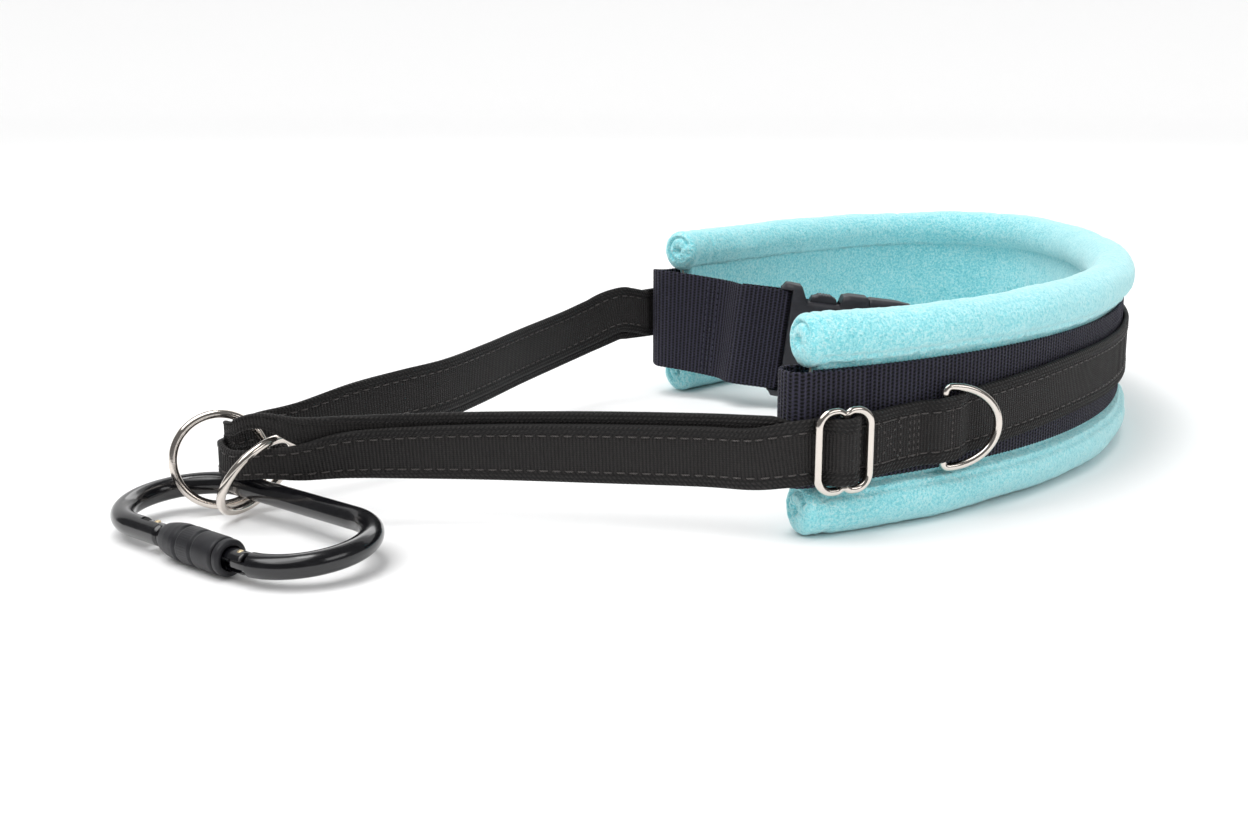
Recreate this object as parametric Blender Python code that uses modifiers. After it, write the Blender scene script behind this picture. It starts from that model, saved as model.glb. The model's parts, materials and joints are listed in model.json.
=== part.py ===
"""Padded gait belt with a front tether, two O-rings and a screw-gate carabiner.

Frame: metres, +Z up. The belt stands on the floor z = 0, its open ends and the tether point to -X,
and its back is at +X. The dimensions below count x and y from the middle of the belt's opening; at
the end the whole model is moved level, so that the origin is the middle of its footprint.
"""
import math

import bmesh
import bpy
from mathutils import Matrix, Vector

# ---------------------------------------------------------------- belt pad
# Plan of the pad's middle line: two cubic Bezier spans, near end -> back -> far end.
NEAR_SPAN = ((-0.0557, -0.1180), (0.0136, -0.0912), (0.1061, -0.0185), (0.1061, 0.1209))
FAR_SPAN = ((0.1061, 0.1209), (0.1061, 0.2389), (0.0288, 0.2450), (-0.0900, 0.1180))
STATION_COUNT = 31
TANGENT_REACH = 0.0005
PAD_HEIGHT = 0.078
ROLL_RADIUS = 0.0097
ROLL_FLAT_HALF_ANGLE = math.radians(16.0)
FLEECE_WALL = 0.0025
PANEL_HALF_THICKNESS = 0.0040
FOAM_ROLL_RADIUS = 0.0064
FOAM_PANEL_THICKNESS = 0.0022
FOAM_END_INSET = 0.0015
END_CAP_HEIGHT = 0.0034
END_CAP_DIMPLE = 0.0012
GAP = 0.0003

# ---------------------------------------------------------------- webbing
NAVY_THICKNESS = 0.0015
NAVY_BAND_HALF_WIDTH = 0.0204
NAVY_BAND_OFFSET = PANEL_HALF_THICKNESS + GAP + NAVY_THICKNESS / 2
PAD_MID_HEIGHT = PAD_HEIGHT / 2
CLOSING_OFFSET = NAVY_BAND_OFFSET + NAVY_THICKNESS + GAP
CLOSING_HALF_WIDTH = 0.0234
NEAR_CLOSING_HALF_WIDTH = 0.0208
CLOSING_OVERLAP = 0.020
CLOSING_RUN = (0.0, 0.010, 0.019)
SIDE_THICKNESS = 0.0022
SIDE_HALF_WIDTH = 0.0118
SIDE_OFFSET = NAVY_BAND_OFFSET + (NAVY_THICKNESS + SIDE_THICKNESS) / 2 + GAP
SIDE_OFFSET_AT_ENDS = CLOSING_OFFSET + (NAVY_THICKNESS + SIDE_THICKNESS) / 2 + GAP
SIDE_NEAR_HEIGHT = 0.0318
SIDE_NEAR_SAG_LENGTH = 0.150
SIDE_TAIL = 0.0030
SIDE_DETAIL_LENGTH = 0.0740
SIDE_DETAIL_STEP = 0.0018

# ---------------------------------------------------------------- slides and D-rings
WIRE_RADIUS = 0.0015
SLIDE_HALF_HEIGHT = 0.0140
SLIDE_HALF_WIDTH = 0.0100
SLIDE_CORNER = 0.0055
SLIDE_DIP = 0.0012
SLIDE_WEAVE = WIRE_RADIUS + GAP + SIDE_THICKNESS / 2
WEAVE_HIGH_TO = 0.0015
WEAVE_LOW_FROM = 0.0080
NEAR_SLIDE_AT = 0.0085
FAR_SLIDE_AT = 0.0060
SLIDE_OFFSET = SIDE_OFFSET_AT_ENDS + SLIDE_WEAVE
D_HALF_HEIGHT = 0.0147
D_DEPTH = 0.0210
D_CORNER = 0.0020
D_RING_AT = 0.0530
D_BAR_OFFSET = NAVY_BAND_OFFSET + NAVY_THICKNESS / 2 + GAP + WIRE_RADIUS
D_TUNNEL_OFFSET = D_BAR_OFFSET + WIRE_RADIUS + GAP + SIDE_THICKNESS / 2
D_TUNNEL_HALF_LENGTH = 0.0090
D_LEAN = math.radians(19.0)

# ---------------------------------------------------------------- tether
# The outer strap's middle (x, y, z), its half width, the lean of its top edge towards -Y (degrees),
# and the inner strap's rise above it and half width. The straps gather towards the rings.
TETHER_WAYPOINTS = (
    (-0.0755, -0.1262, 0.0290, 0.0108, 0.0, 0.0042, 0.0108),
    (-0.0920, -0.1195, 0.0282, 0.0108, 2.0, 0.0042, 0.0108),
    (-0.1260, -0.1120, 0.0272, 0.0108, 4.0, 0.0042, 0.0108),
    (-0.1620, -0.1065, 0.0264, 0.0106, 8.0, 0.0042, 0.0106),
    (-0.1900, -0.1048, 0.0258, 0.0102, 12.0, 0.0048, 0.0100),
    (-0.2150, -0.1052, 0.0250, 0.0092, 14.0, 0.0064, 0.0086),
    (-0.2317, -0.1077, 0.0229, 0.0070, 12.0, 0.0116, 0.0056),
    (-0.2448, -0.1072, 0.0222, 0.0056, 8.0, 0.0158, 0.0030),
    (-0.2562, -0.1048, 0.0213, 0.0056, 4.0, 0.0134, 0.0028),
    (-0.2624, -0.0974, 0.0221, 0.0060, 0.0, 0.0105, 0.0030),
    (-0.2628, -0.0874, 0.0214, 0.0060, 0.0, 0.0065, 0.0044),
    (-0.2548, -0.0761, 0.0234, 0.0066, 0.0, 0.0046, 0.0062),
    (-0.2409, -0.0666, 0.0234, 0.0085, 0.0, 0.0042, 0.0084),
    (-0.2230, -0.0505, 0.0256, 0.0102, 0.0, 0.0042, 0.0102),
    (-0.2070, -0.0350, 0.0268, 0.0108, 0.0, 0.0042, 0.0108),
    (-0.1925, -0.0170, 0.0274, 0.0108, 0.0, 0.0042, 0.0108),
    (-0.1790, 0.0100, 0.0283, 0.0108, 0.0, 0.0042, 0.0108),
    (-0.1644, 0.0445, 0.0293, 0.0108, 0.0, 0.0042, 0.0108),
    (-0.1477, 0.0765, 0.0312, 0.0108, 0.0, 0.0042, 0.0108),
    (-0.1345, 0.0925, 0.0345, 0.0108, 0.0, 0.0042, 0.0108),
    (-0.1225, 0.1005, 0.0385, 0.0108, 0.0, 0.0042, 0.0108),
)
TETHER_THICKNESS = 0.0018
TETHER_SPACING = TETHER_THICKNESS + 0.0006
TETHER_STEP = 0.0060

# ---------------------------------------------------------------- rings
RING_RADIUS = 0.0166
RING_WIRE_RADIUS = 0.0016
RIGHT_RING_CENTRE = (-0.2487, -0.1020, 0.0169)
RIGHT_RING_AXIS = (-0.739, 0.405, 0.539)
LEFT_RING_CENTRE = (-0.2643, -0.0913, 0.0198)
LEFT_RING_AXIS = (-0.330, 0.936, -0.124)

# ---------------------------------------------------------------- carabiner
CARABINER_CENTRE = (-0.2471, -0.1317, 0.0086)
CARABINER_HEADING = math.radians(-40.7)
CARABINER_TILT = math.radians(5.1)
ROD_RADIUS = 0.0041
OVAL_HALF_STRAIGHT = 0.0310
OVAL_RADIUS = 0.0230
GATE_PIN_AT = 0.0300
LATCH_PIN_AT = -0.0175
NOSE_TIP_AT = -0.0125
RECESS_FROM = -0.0245
NOSE_STEP = 0.0008
LATCH_PIN_INSET = 0.0012
HINGE_SHOULDER = 0.0050
GATE_TAIL = 0.0036
GATE_RADIUS = 0.0038
TONGUE_HALF_THICKNESS = 0.0016
PIN_RADIUS = 0.0011
SLEEVE_FROM = -0.0095
SLEEVE_TO = 0.0212
SLEEVE_RADIUS = 0.0064
SLEEVE_BORE = 0.0043
RETAINER_TO = 0.0248
SPRING_BORE = 0.0020
PLUNGER_RADIUS = 0.0016
PLUNGER_FROM = 0.0232
PLUNGER_TO = 0.0263
SPRING_FROM = 0.0080
SPRING_TURNS = 7
SPRING_COIL_RADIUS = 0.0013
SPRING_WIRE_RADIUS = 0.00025

# ---------------------------------------------------------------- buckle
BUCKLE_CENTRE = (-0.0290, 0.0800, 0.0305)
BUCKLE_DROOP = math.radians(7.0)
HOUSING_THICKNESS = 0.0130
HOUSING_LEFT = -0.0195
HOUSING_MOUTH = 0.0210
HOUSING_BLOCK_HALF = 0.0267
HOUSING_MOUTH_HALF = 0.0245
WINDOW_LEFT = -0.0070
WINDOW_RIGHT = 0.0080
WINDOW_HALF = 0.0195
CAVITY_HALF = 0.0205
CAVITY_THICKNESS = 0.0084
BAR_LENGTH = 0.0030
SLOT_LENGTH = 0.0040
BAR_THICKNESS = 0.0040
MALE_END = 0.0430
MALE_THICKNESS = 0.0110
MALE_HALF = 0.0240
MALE_SLOT_HALF = 0.0213
TONGUE_HALF = 0.0050
TONGUE_THICKNESS = 0.0060
ARM_THICKNESS = 0.0076
ARM_INNER = 0.0150
ARM_OUTER = 0.0190
ARM_ROOT_AT = 0.0174
ARM_GAP_LEFT = 0.0008
ARM_GAP_RIGHT = 0.0014
PAD_HALF_WIDTH_TOP = 0.0232

BELT_NAME = "gait_belt"


# ---------------------------------------------------------------- scene helpers
def clear_scene():
    for old in list(bpy.data.objects):
        bpy.data.objects.remove(old, do_unlink=True)


def new_collection(name):
    collection = bpy.data.collections.new(name)
    bpy.context.scene.collection.children.link(collection)
    return collection


def material(name, colour, roughness, metallic=0.0):
    made = bpy.data.materials.new(name)
    made.use_nodes = True
    shader = made.node_tree.nodes["Principled BSDF"]
    shader.inputs["Base Color"].default_value = (*colour, 1.0)
    shader.inputs["Roughness"].default_value = roughness
    shader.inputs["Metallic"].default_value = metallic
    return made


def add_object(name, data, collection, finish=None, parent=None):
    made = bpy.data.objects.new(name, data)
    collection.objects.link(made)
    if finish is not None:
        data.materials.clear()
        data.materials.append(finish)
    if parent is not None:
        made.parent = parent
    return made


def add_frame(name, location, x_axis, y_axis):
    """Empty whose local axes are x_axis, y_axis and their cross product."""
    x_axis = Vector(x_axis).normalized()
    z_axis = x_axis.cross(Vector(y_axis)).normalized()
    y_axis = z_axis.cross(x_axis)
    frame = bpy.data.objects.new(name, None)
    PARTS.objects.link(frame)
    matrix = Matrix((x_axis, y_axis, z_axis)).transposed().to_4x4()
    matrix.translation = Vector(location)
    frame.matrix_world = matrix
    return frame


def bm_to_object(bm, name, finish, parent=None, smooth_angle=None, collection=None):
    bmesh.ops.remove_doubles(bm, verts=bm.verts, dist=0.00001)
    bmesh.ops.recalc_face_normals(bm, faces=bm.faces)
    mesh = bpy.data.meshes.new(name)
    bm.to_mesh(mesh)
    bm.free()
    if smooth_angle is not None:
        mesh.shade_smooth()
        mesh.set_sharp_from_angle(angle=smooth_angle)
    return add_object(name, mesh, collection or PARTS, finish, parent)


def curve_to_object(curve_object, name, finish, parent=None, smooth_angle=None):
    """Turns a curve object into a closed mesh object of the same place."""
    graph = bpy.context.evaluated_depsgraph_get()
    graph.update()
    mesh = bpy.data.meshes.new_from_object(curve_object.evaluated_get(graph))
    bm = bmesh.new()
    bm.from_mesh(mesh)
    matrix = curve_object.matrix_world.copy()
    bpy.data.meshes.remove(mesh)
    bpy.data.objects.remove(curve_object, do_unlink=True)
    made = bm_to_object(bm, name, finish, parent, smooth_angle)
    if parent is None:
        made.matrix_world = matrix
    return made


def solidify(target, thickness):
    shell = target.modifiers.new("thickness", "SOLIDIFY")
    shell.thickness = thickness
    shell.offset = 0.0
    shell.use_even_offset = True
    return shell


def bevel(target, width, segments=2):
    rounded = target.modifiers.new("rounded edges", "BEVEL")
    rounded.width = width
    rounded.segments = segments
    rounded.limit_method = "ANGLE"
    rounded.angle_limit = math.radians(40.0)
    return rounded


def boolean(target, cutter, operation):
    change = target.modifiers.new(operation.lower(), "BOOLEAN")
    change.operation = operation
    change.object = cutter
    change.solver = "EXACT"
    return change


def apply_modifiers(target):
    """Replaces the object's mesh by its evaluated one, so that it can be joined or cut again."""
    graph = bpy.context.evaluated_depsgraph_get()
    graph.update()
    mesh = bpy.data.meshes.new_from_object(target.evaluated_get(graph))
    target.modifiers.clear()
    target.data = mesh


def hide_cutter(cutter):
    cutter.hide_render = True
    cutter.display_type = "WIRE"


# ---------------------------------------------------------------- shape helpers
def box(name, low, high, finish=None, parent=None, collection=None):
    bm = bmesh.new()
    low = Vector(low)
    high = Vector(high)
    size = high - low
    place = Matrix.Translation((low + high) / 2) @ Matrix.Diagonal((*size, 1.0))
    bmesh.ops.create_cube(bm, size=1.0, matrix=place)
    return bm_to_object(bm, name, finish, parent, None, collection)


def cutter_box(name, low, high, parent=None):
    made = box(name, low, high, None, parent, CUTTERS)
    hide_cutter(made)
    return made


def cylinder(name, radius, start, end, finish=None, parent=None, segments=20, collection=None):
    """Cylinder from start to end, both in the parent's frame."""
    start = Vector(start)
    end = Vector(end)
    axis = end - start
    bm = bmesh.new()
    turn = axis.to_track_quat("Z", "Y").to_matrix().to_4x4()
    place = Matrix.Translation((start + end) / 2) @ turn
    bmesh.ops.create_cone(
        bm, cap_ends=True, segments=segments, radius1=radius, radius2=radius,
        depth=axis.length, matrix=place)
    return bm_to_object(bm, name, finish, parent, math.radians(40.0), collection)


def cutter_cylinder(name, radius, start, end, parent=None, segments=20):
    made = cylinder(name, radius, start, end, None, parent, segments, CUTTERS)
    hide_cutter(made)
    return made


def loft(name, sections, closed, finish, smooth_angle=None):
    """Open surface through successive cross-sections of equally many points."""
    bm = bmesh.new()
    rows = [[bm.verts.new(point) for point in section] for section in sections]
    span = len(rows[0]) if closed else len(rows[0]) - 1
    for row, following in zip(rows, rows[1:]):
        for i in range(span):
            j = (i + 1) % len(row)
            bm.faces.new((row[i], row[j], following[j], following[i]))
    return bm_to_object(bm, name, finish, None, smooth_angle)


def ribbon(name, stations, thickness, finish):
    """Webbing: stations are (middle point, unit vector across, half width)."""
    sections = [(middle - across * half, middle + across * half)
                for middle, across, half in stations]
    made = loft(name, sections, False, finish)
    solidify(made, thickness)
    return made


def wire(name, points, radius, finish, parent=None, cyclic=False, sides_level=2):
    """Round wire through the points, as a poly curve with a bevel."""
    data = bpy.data.curves.new(name, "CURVE")
    data.dimensions = "3D"
    data.twist_mode = "MINIMUM"
    spline = data.splines.new("POLY")
    spline.points.add(len(points) - 1)
    for target, point in zip(spline.points, points):
        target.co = (*point, 1.0)
    spline.use_cyclic_u = cyclic
    data.bevel_depth = radius
    data.bevel_resolution = sides_level
    data.use_fill_caps = not cyclic
    made = add_object(name + "_curve", data, PARTS)
    return curve_to_object(made, name, finish, parent, math.radians(50.0))


def plate(name, outline, thickness, finish, parent):
    """Flat plate in the local XZ plane, extruded along Y."""
    data = bpy.data.curves.new(name, "CURVE")
    data.dimensions = "2D"
    data.fill_mode = "BOTH"
    data.extrude = thickness / 2
    spline = data.splines.new("POLY")
    spline.points.add(len(outline) - 1)
    for target, (x, z) in zip(spline.points, outline):
        target.co = (x, z, 0.0, 1.0)
    spline.use_cyclic_u = True
    made = curve_to_object(add_object(name + "_curve", data, PARTS), name, finish)
    made.data.transform(Matrix.Rotation(math.radians(90.0), 4, "X"))
    made.parent = parent
    return made


def turned(name, profile, finish, parent=None, segments=28):
    """Solid of revolution about the local X axis; profile is (x, radius) with its ends on the axis
    or, for a tube, a closed loop of its outer side and then its bore."""
    bm = bmesh.new()
    points = [bm.verts.new((x, 0.0, radius)) for x, radius in profile]
    for first, second in zip(points, points[1:]):
        bm.edges.new((first, second))
    if min(radius for _, radius in profile) > 0.0:
        bm.edges.new((points[-1], points[0]))
    mesh = bpy.data.meshes.new(name)
    bm.to_mesh(mesh)
    bm.free()
    made = add_object(name, mesh, PARTS, finish, parent)
    screw = made.modifiers.new("turn", "SCREW")
    screw.axis = "X"
    screw.steps = segments
    screw.render_steps = segments
    screw.use_merge_vertices = True
    screw.merge_threshold = 0.00001
    apply_modifiers(made)
    bm = bmesh.new()
    bm.from_mesh(made.data)
    bmesh.ops.remove_doubles(bm, verts=bm.verts, dist=0.000001)
    bmesh.ops.recalc_face_normals(bm, faces=bm.faces)
    bm.to_mesh(made.data)
    bm.free()
    made.data.shade_smooth()
    made.data.set_sharp_from_angle(angle=math.radians(35.0))
    made.data.materials.clear()
    made.data.materials.append(finish)
    return made


def arc(centre, radius, start, end, count):
    """Points of a plane arc; angles in degrees."""
    step = math.radians(end - start) / (count - 1)
    angles = [math.radians(start) + step * i for i in range(count)]
    return [(centre[0] + radius * math.cos(a), centre[1] + radius * math.sin(a)) for a in angles]


def smooth_through(waypoints, step):
    """Catmull-Rom curve through waypoints of any dimension, at about the given step."""
    padded = [waypoints[0], *waypoints, waypoints[-1]]
    found = []
    for before, here, there, after in zip(padded, padded[1:], padded[2:], padded[3:]):
        length = math.dist(here[:3], there[:3])
        count = max(2, round(length / step))
        for i in range(count):
            t = i / count
            found.append(tuple(
                0.5 * (2 * b + (c - a) * t + (2 * a - 5 * b + 4 * c - d) * t * t
                       + (3 * b - a - 3 * c + d) * t ** 3)
                for a, b, c, d in zip(before, here, there, after)))
    found.append(tuple(waypoints[-1]))
    return found


def ease(t):
    t = min(max(t, 0.0), 1.0)
    return t * t * (3.0 - 2.0 * t)


# ---------------------------------------------------------------- belt path
def bezier(span, t):
    p0, p1, p2, p3 = (Vector(point) for point in span)
    u = 1.0 - t
    return p0 * u ** 3 + p1 * 3 * u * u * t + p2 * 3 * u * t * t + p3 * t ** 3


def belt_stations(count):
    """Equally spaced (arc length, point, outward normal) along the pad's middle line."""
    fine = [bezier(NEAR_SPAN, i / 400) for i in range(400)]
    fine += [bezier(FAR_SPAN, i / 400) for i in range(401)]
    lengths = [0.0]
    for first, second in zip(fine, fine[1:]):
        lengths.append(lengths[-1] + (second - first).length)
    stations = []
    at = 0
    for k in range(count):
        wanted = lengths[-1] * k / (count - 1)
        while at < len(fine) - 2 and lengths[at + 1] < wanted:
            at += 1
        share = (wanted - lengths[at]) / (lengths[at + 1] - lengths[at])
        point = fine[at].lerp(fine[at + 1], share)
        tangent = (fine[min(at + 2, 800)] - fine[max(at - 1, 0)]).normalized()
        stations.append((wanted, point, Vector((tangent.y, -tangent.x))))
    return stations


def belt_point(along, offset, height=0.0):
    """Point beside the pad's middle line; beyond an end the path runs on straight."""
    index = 0
    while index < len(STATIONS) - 2 and STATIONS[index + 1][0] < along:
        index += 1
    first, second = STATIONS[index], STATIONS[index + 1]
    if along < 0.0 or along > PAD_LENGTH:
        end = STATIONS[0] if along < 0.0 else STATIONS[-1]
        tangent = Vector((-end[2].y, end[2].x))
        base = end[1] + tangent * (along - end[0]) + end[2] * offset
        return Vector((base.x, base.y, height))
    share = (along - first[0]) / (second[0] - first[0])
    base = (first[1] + first[2] * offset).lerp(second[1] + second[2] * offset, share)
    return Vector((base.x, base.y, height))


def belt_tangent(along):
    before = belt_point(along - TANGENT_REACH, 0.0)
    after = belt_point(along + TANGENT_REACH, 0.0)
    return (after - before).normalized()


def belt_normal(along):
    tangent = belt_tangent(along)
    return Vector((tangent.y, -tangent.x, 0.0))


# ---------------------------------------------------------------- pad
def roll_centres():
    low = ROLL_RADIUS * math.cos(ROLL_FLAT_HALF_ANGLE)
    return low, PAD_HEIGHT - low


def sleeve_section():
    """Dumb-bell outline (offset, height): a roll at each edge and a flat panel between."""
    low, high = roll_centres()
    join = math.degrees(math.acos(PANEL_HALF_THICKNESS / ROLL_RADIUS))
    flat = math.degrees(ROLL_FLAT_HALF_ANGLE)
    bottom = arc((0.0, low), ROLL_RADIUS, join, -90.0 + flat, 6)
    bottom += arc((0.0, low), ROLL_RADIUS, -90.0 - flat, -180.0 - join, 6)
    top = [(-offset, PAD_HEIGHT - height) for offset, height in bottom]
    return bottom + top


def swept_along_belt(section, alongs):
    return [[belt_point(along, offset, height) for offset, height in section] for along in alongs]


def make_fleece_sleeve():
    section = sleeve_section()
    sections = swept_along_belt(section, [station[0] for station in STATIONS])
    sleeve = loft("fleece_sleeve", sections, True, FLEECE, math.radians(40.0))
    shell = solidify(sleeve, FLEECE_WALL)
    shell.offset = -1.0


def make_foam():
    low, high = roll_centres()
    alongs = [station[0] for station in STATIONS]
    alongs[0] += FOAM_END_INSET
    alongs[-1] -= FOAM_END_INSET
    for name, height in (("lower_foam_roll", low), ("upper_foam_roll", high)):
        points = [belt_point(along, 0.0, height) for along in alongs]
        wire(name, points, FOAM_ROLL_RADIUS, FOAM, None, False, 3)
    gap = FOAM_ROLL_RADIUS + 0.0010
    half = (high - low) / 2 - gap
    up = Vector((0.0, 0.0, 1.0))
    stations = [(belt_point(along, 0.0, PAD_MID_HEIGHT), up, half) for along in alongs]
    ribbon("foam_back_panel", stations, FOAM_PANEL_THICKNESS, FOAM)


def make_end_cap(name, along, direction, height):
    """Domed fleece disc, gathered to a dimple in the middle, that closes one end of a roll."""
    radius = ROLL_RADIUS - GAP
    rim = 0.0006
    profile = [(0.0, 0.0), (0.0, radius)]
    profile += [(rim + (END_CAP_HEIGHT - rim) * math.sin(a), radius * math.cos(a) * 0.999)
                for a in (0.2, 0.55, 0.9, 1.2)]
    profile += [(END_CAP_HEIGHT, radius * 0.22), (END_CAP_HEIGHT - END_CAP_DIMPLE, 0.0)]
    tangent = belt_tangent(along) * direction
    place = belt_point(along + direction * GAP, 0.0, height)
    frame = add_frame(name + "_place", place, tangent, (0.0, 0.0, 1.0))
    cap = turned(name, profile, FLEECE, frame, 20)
    if height < PAD_MID_HEIGHT:
        floor = cutter_box(name + "_floor", (-0.01, -0.05, -0.05), (0.02, -height, 0.05), frame)
        boolean(cap, floor, "DIFFERENCE")


def make_end_caps():
    low, high = roll_centres()
    make_end_cap("near_lower_end_cap", 0.0, -1.0, low)
    make_end_cap("near_upper_end_cap", 0.0, -1.0, high)
    make_end_cap("far_lower_end_cap", PAD_LENGTH, 1.0, low)
    make_end_cap("far_upper_end_cap", PAD_LENGTH, 1.0, high)


# ---------------------------------------------------------------- webbing on the belt
def make_navy_band():
    up = Vector((0.0, 0.0, 1.0))
    alongs = [station[0] for station in STATIONS]
    stations = [(belt_point(along, NAVY_BAND_OFFSET, PAD_MID_HEIGHT), up, NAVY_BAND_HALF_WIDTH)
                for along in alongs]
    ribbon("navy_belt_webbing", stations, NAVY_THICKNESS, NAVY)


def side_height(along):
    """The side strap hangs lower towards the near slide."""
    sag = 1.0 - ease(along / SIDE_NEAR_SAG_LENGTH)
    return PAD_MID_HEIGHT - (PAD_MID_HEIGHT - SIDE_NEAR_HEIGHT) * sag


def side_offset(along):
    """Lies on the band, climbs over the closing straps' ends and over each D-ring's bar,
    and weaves through the slides: under the outer bars and over the middle one."""
    from_end = min(along, PAD_LENGTH - along)
    offset = SIDE_OFFSET_AT_ENDS
    climb = (from_end - CLOSING_OVERLAP - 0.002) / 0.010
    offset += (SIDE_OFFSET - SIDE_OFFSET_AT_ENDS) * ease(climb)
    d_distance = abs(from_end - D_RING_AT)
    bulge = ease(1.0 - max(d_distance - 0.0030, 0.0) / D_TUNNEL_HALF_LENGTH)
    offset += (D_TUNNEL_OFFSET - SIDE_OFFSET) * bulge
    middle = NEAR_SLIDE_AT if along < PAD_LENGTH / 2 else PAD_LENGTH - FAR_SLIDE_AT
    weave = (WEAVE_LOW_FROM - abs(along - middle)) / (WEAVE_LOW_FROM - WEAVE_HIGH_TO)
    return offset + 2.0 * SLIDE_WEAVE * ease(weave)


def make_side_strap():
    up = Vector((0.0, 0.0, 1.0))
    start = NEAR_SLIDE_AT - SLIDE_HALF_WIDTH - SIDE_TAIL
    end = PAD_LENGTH - FAR_SLIDE_AT + SLIDE_HALF_WIDTH + SIDE_TAIL
    alongs = {station[0] for station in STATIONS}
    steps = round(SIDE_DETAIL_LENGTH / SIDE_DETAIL_STEP)
    for i in range(steps + 1):
        alongs.add(start + SIDE_DETAIL_STEP * i)
        alongs.add(end - SIDE_DETAIL_STEP * i)
    ordered = []
    for along in sorted(alongs):
        if not ordered or along - ordered[-1] > SIDE_DETAIL_STEP * 0.4 or along in PAD_STATION_ALONGS:
            ordered.append(along)
    stations = [(belt_point(a, side_offset(a), side_height(a)), up, SIDE_HALF_WIDTH)
                for a in ordered]
    ribbon("side_strap", stations, SIDE_THICKNESS, BLACK_WEB)


def closing_stations(plan, half_widths, heights, tilts, step):
    """Stations of a closing strap; tilt leans its upper edge towards +X, as at the buckle."""
    packed = [(x, y, z, half, tilt)
              for (x, y), z, half, tilt in zip(plan, heights, half_widths, tilts)]
    return [(Vector((x, y, z)), Vector((math.sin(tilt), 0.0, math.cos(tilt))), half)
            for x, y, z, half, tilt in smooth_through(packed, step)]


def buckle_point(x, y):
    """Plan point and height of a place on the buckle's middle line."""
    place = Vector(BUCKLE_CENTRE) + Vector((x * math.cos(BUCKLE_DROOP), y,
                                            -x * math.sin(BUCKLE_DROOP)))
    return (place.x, place.y), place.z


def bar_wrap(x_bar, side, lead):
    """Webbing round a buckle bar: in on the -Y side, round the bar, back on the +Y side.
    side is +1 when the webbing comes from -X and -1 when it comes from +X."""
    reach = BAR_THICKNESS / 2 + GAP + NAVY_THICKNESS / 2
    turn = BAR_LENGTH / 2 + GAP + NAVY_THICKNESS / 2
    steps = [(-lead, -reach * 0.45), (-0.0050, -reach), (-0.0012, -reach)]
    steps += [(turn * 0.93, -reach * 0.93), (turn, 0.0), (turn * 0.93, reach * 0.93)]
    steps += [(-0.0012, reach), (-0.0050, reach), (-lead, reach * 0.45 + 0.0010)]
    return [buckle_point(x_bar + side * dx, dy) for dx, dy in steps]


def make_far_closing_strap():
    start = [belt_point(PAD_LENGTH - CLOSING_OVERLAP + run, CLOSING_OFFSET) for run in CLOSING_RUN]
    plan = [(p.x, p.y) for p in start]
    beyond = belt_point(PAD_LENGTH + 0.0050, CLOSING_OFFSET)
    plan += [(beyond.x, beyond.y), (-0.1030, 0.1110), (-0.1022, 0.1055), (-0.0975, 0.1016),
             (-0.0860, 0.0968), (-0.0720, 0.0900)]
    heights = [PAD_MID_HEIGHT] * 4 + [0.0382, 0.0380, 0.0378, 0.0368, 0.0352]
    halves = [NAVY_BAND_HALF_WIDTH] * 3 + [0.0206, 0.0226] + [CLOSING_HALF_WIDTH] * 4
    tilts = [0.0] * 6 + [BUCKLE_DROOP * share for share in (0.1, 0.4, 0.8)]
    for (x, y), z in bar_wrap(HOUSING_LEFT + BAR_LENGTH / 2, 1.0, 0.0190):
        plan.append((x, y))
        heights.append(z)
        halves.append(CLOSING_HALF_WIDTH)
        tilts.append(BUCKLE_DROOP)
    stations = closing_stations(plan, halves, heights, tilts, 0.0025)
    ribbon("far_closing_strap", stations, NAVY_THICKNESS, NAVY)


def make_near_closing_strap():
    start = [belt_point(CLOSING_OVERLAP - run, CLOSING_OFFSET) for run in CLOSING_RUN]
    plan = [(p.x, p.y) for p in start]
    for along, offset in ((-0.0045, CLOSING_OFFSET), (-0.0078, 0.0045), (-0.0088, 0.0),
                          (-0.0078, -0.0045), (-0.0040, -0.0068), (0.0020, -0.0074)):
        point = belt_point(along, offset)
        plan.append((point.x, point.y))
    plan += [(-0.0380, -0.0920), (-0.0100, -0.0620), (0.0150, -0.0300), (0.0390, 0.0080),
             (0.0500, 0.0380), (0.0470, 0.0620), (0.0330, 0.0720)]
    heights = [PAD_MID_HEIGHT - 0.0002] * 9 + [0.0385, 0.0375, 0.0365, 0.0340, 0.0310, 0.0285, 0.0265]
    halves = [NAVY_BAND_HALF_WIDTH] * 9 + [NEAR_CLOSING_HALF_WIDTH] * 7
    tilts = [0.0] * 10 + [BUCKLE_DROOP * share for share in (0.1, 0.3, 0.5, 0.7, 0.9, 1.0)]
    for (x, y), z in bar_wrap(MALE_END - BAR_LENGTH / 2, -1.0, 0.0110):
        plan.append((x, y))
        heights.append(z)
        halves.append(NEAR_CLOSING_HALF_WIDTH)
        tilts.append(BUCKLE_DROOP)
    stations = closing_stations(plan, halves, heights, tilts, 0.0060)
    ribbon("near_closing_strap", stations, NAVY_THICKNESS, NAVY)


# ---------------------------------------------------------------- slides and D-rings
def slide_loop():
    """Outline (x, z) of the slide: a rounded rectangle with a dip over its middle bar."""
    half_w, half_h = SLIDE_HALF_WIDTH, SLIDE_HALF_HEIGHT
    corner = arc((half_w - SLIDE_CORNER, half_h - SLIDE_CORNER), SLIDE_CORNER, 0.0, 90.0, 6)
    dip = [(0.0012, half_h - SLIDE_DIP * 0.8), (0.0, half_h - SLIDE_DIP)]
    quarter = corner + dip
    mirrored = [(-x, z) for x, z in reversed(quarter[:-1])]
    upper = quarter + mirrored
    lower = [(-x, -z) for x, z in upper]
    return upper + lower


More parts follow.
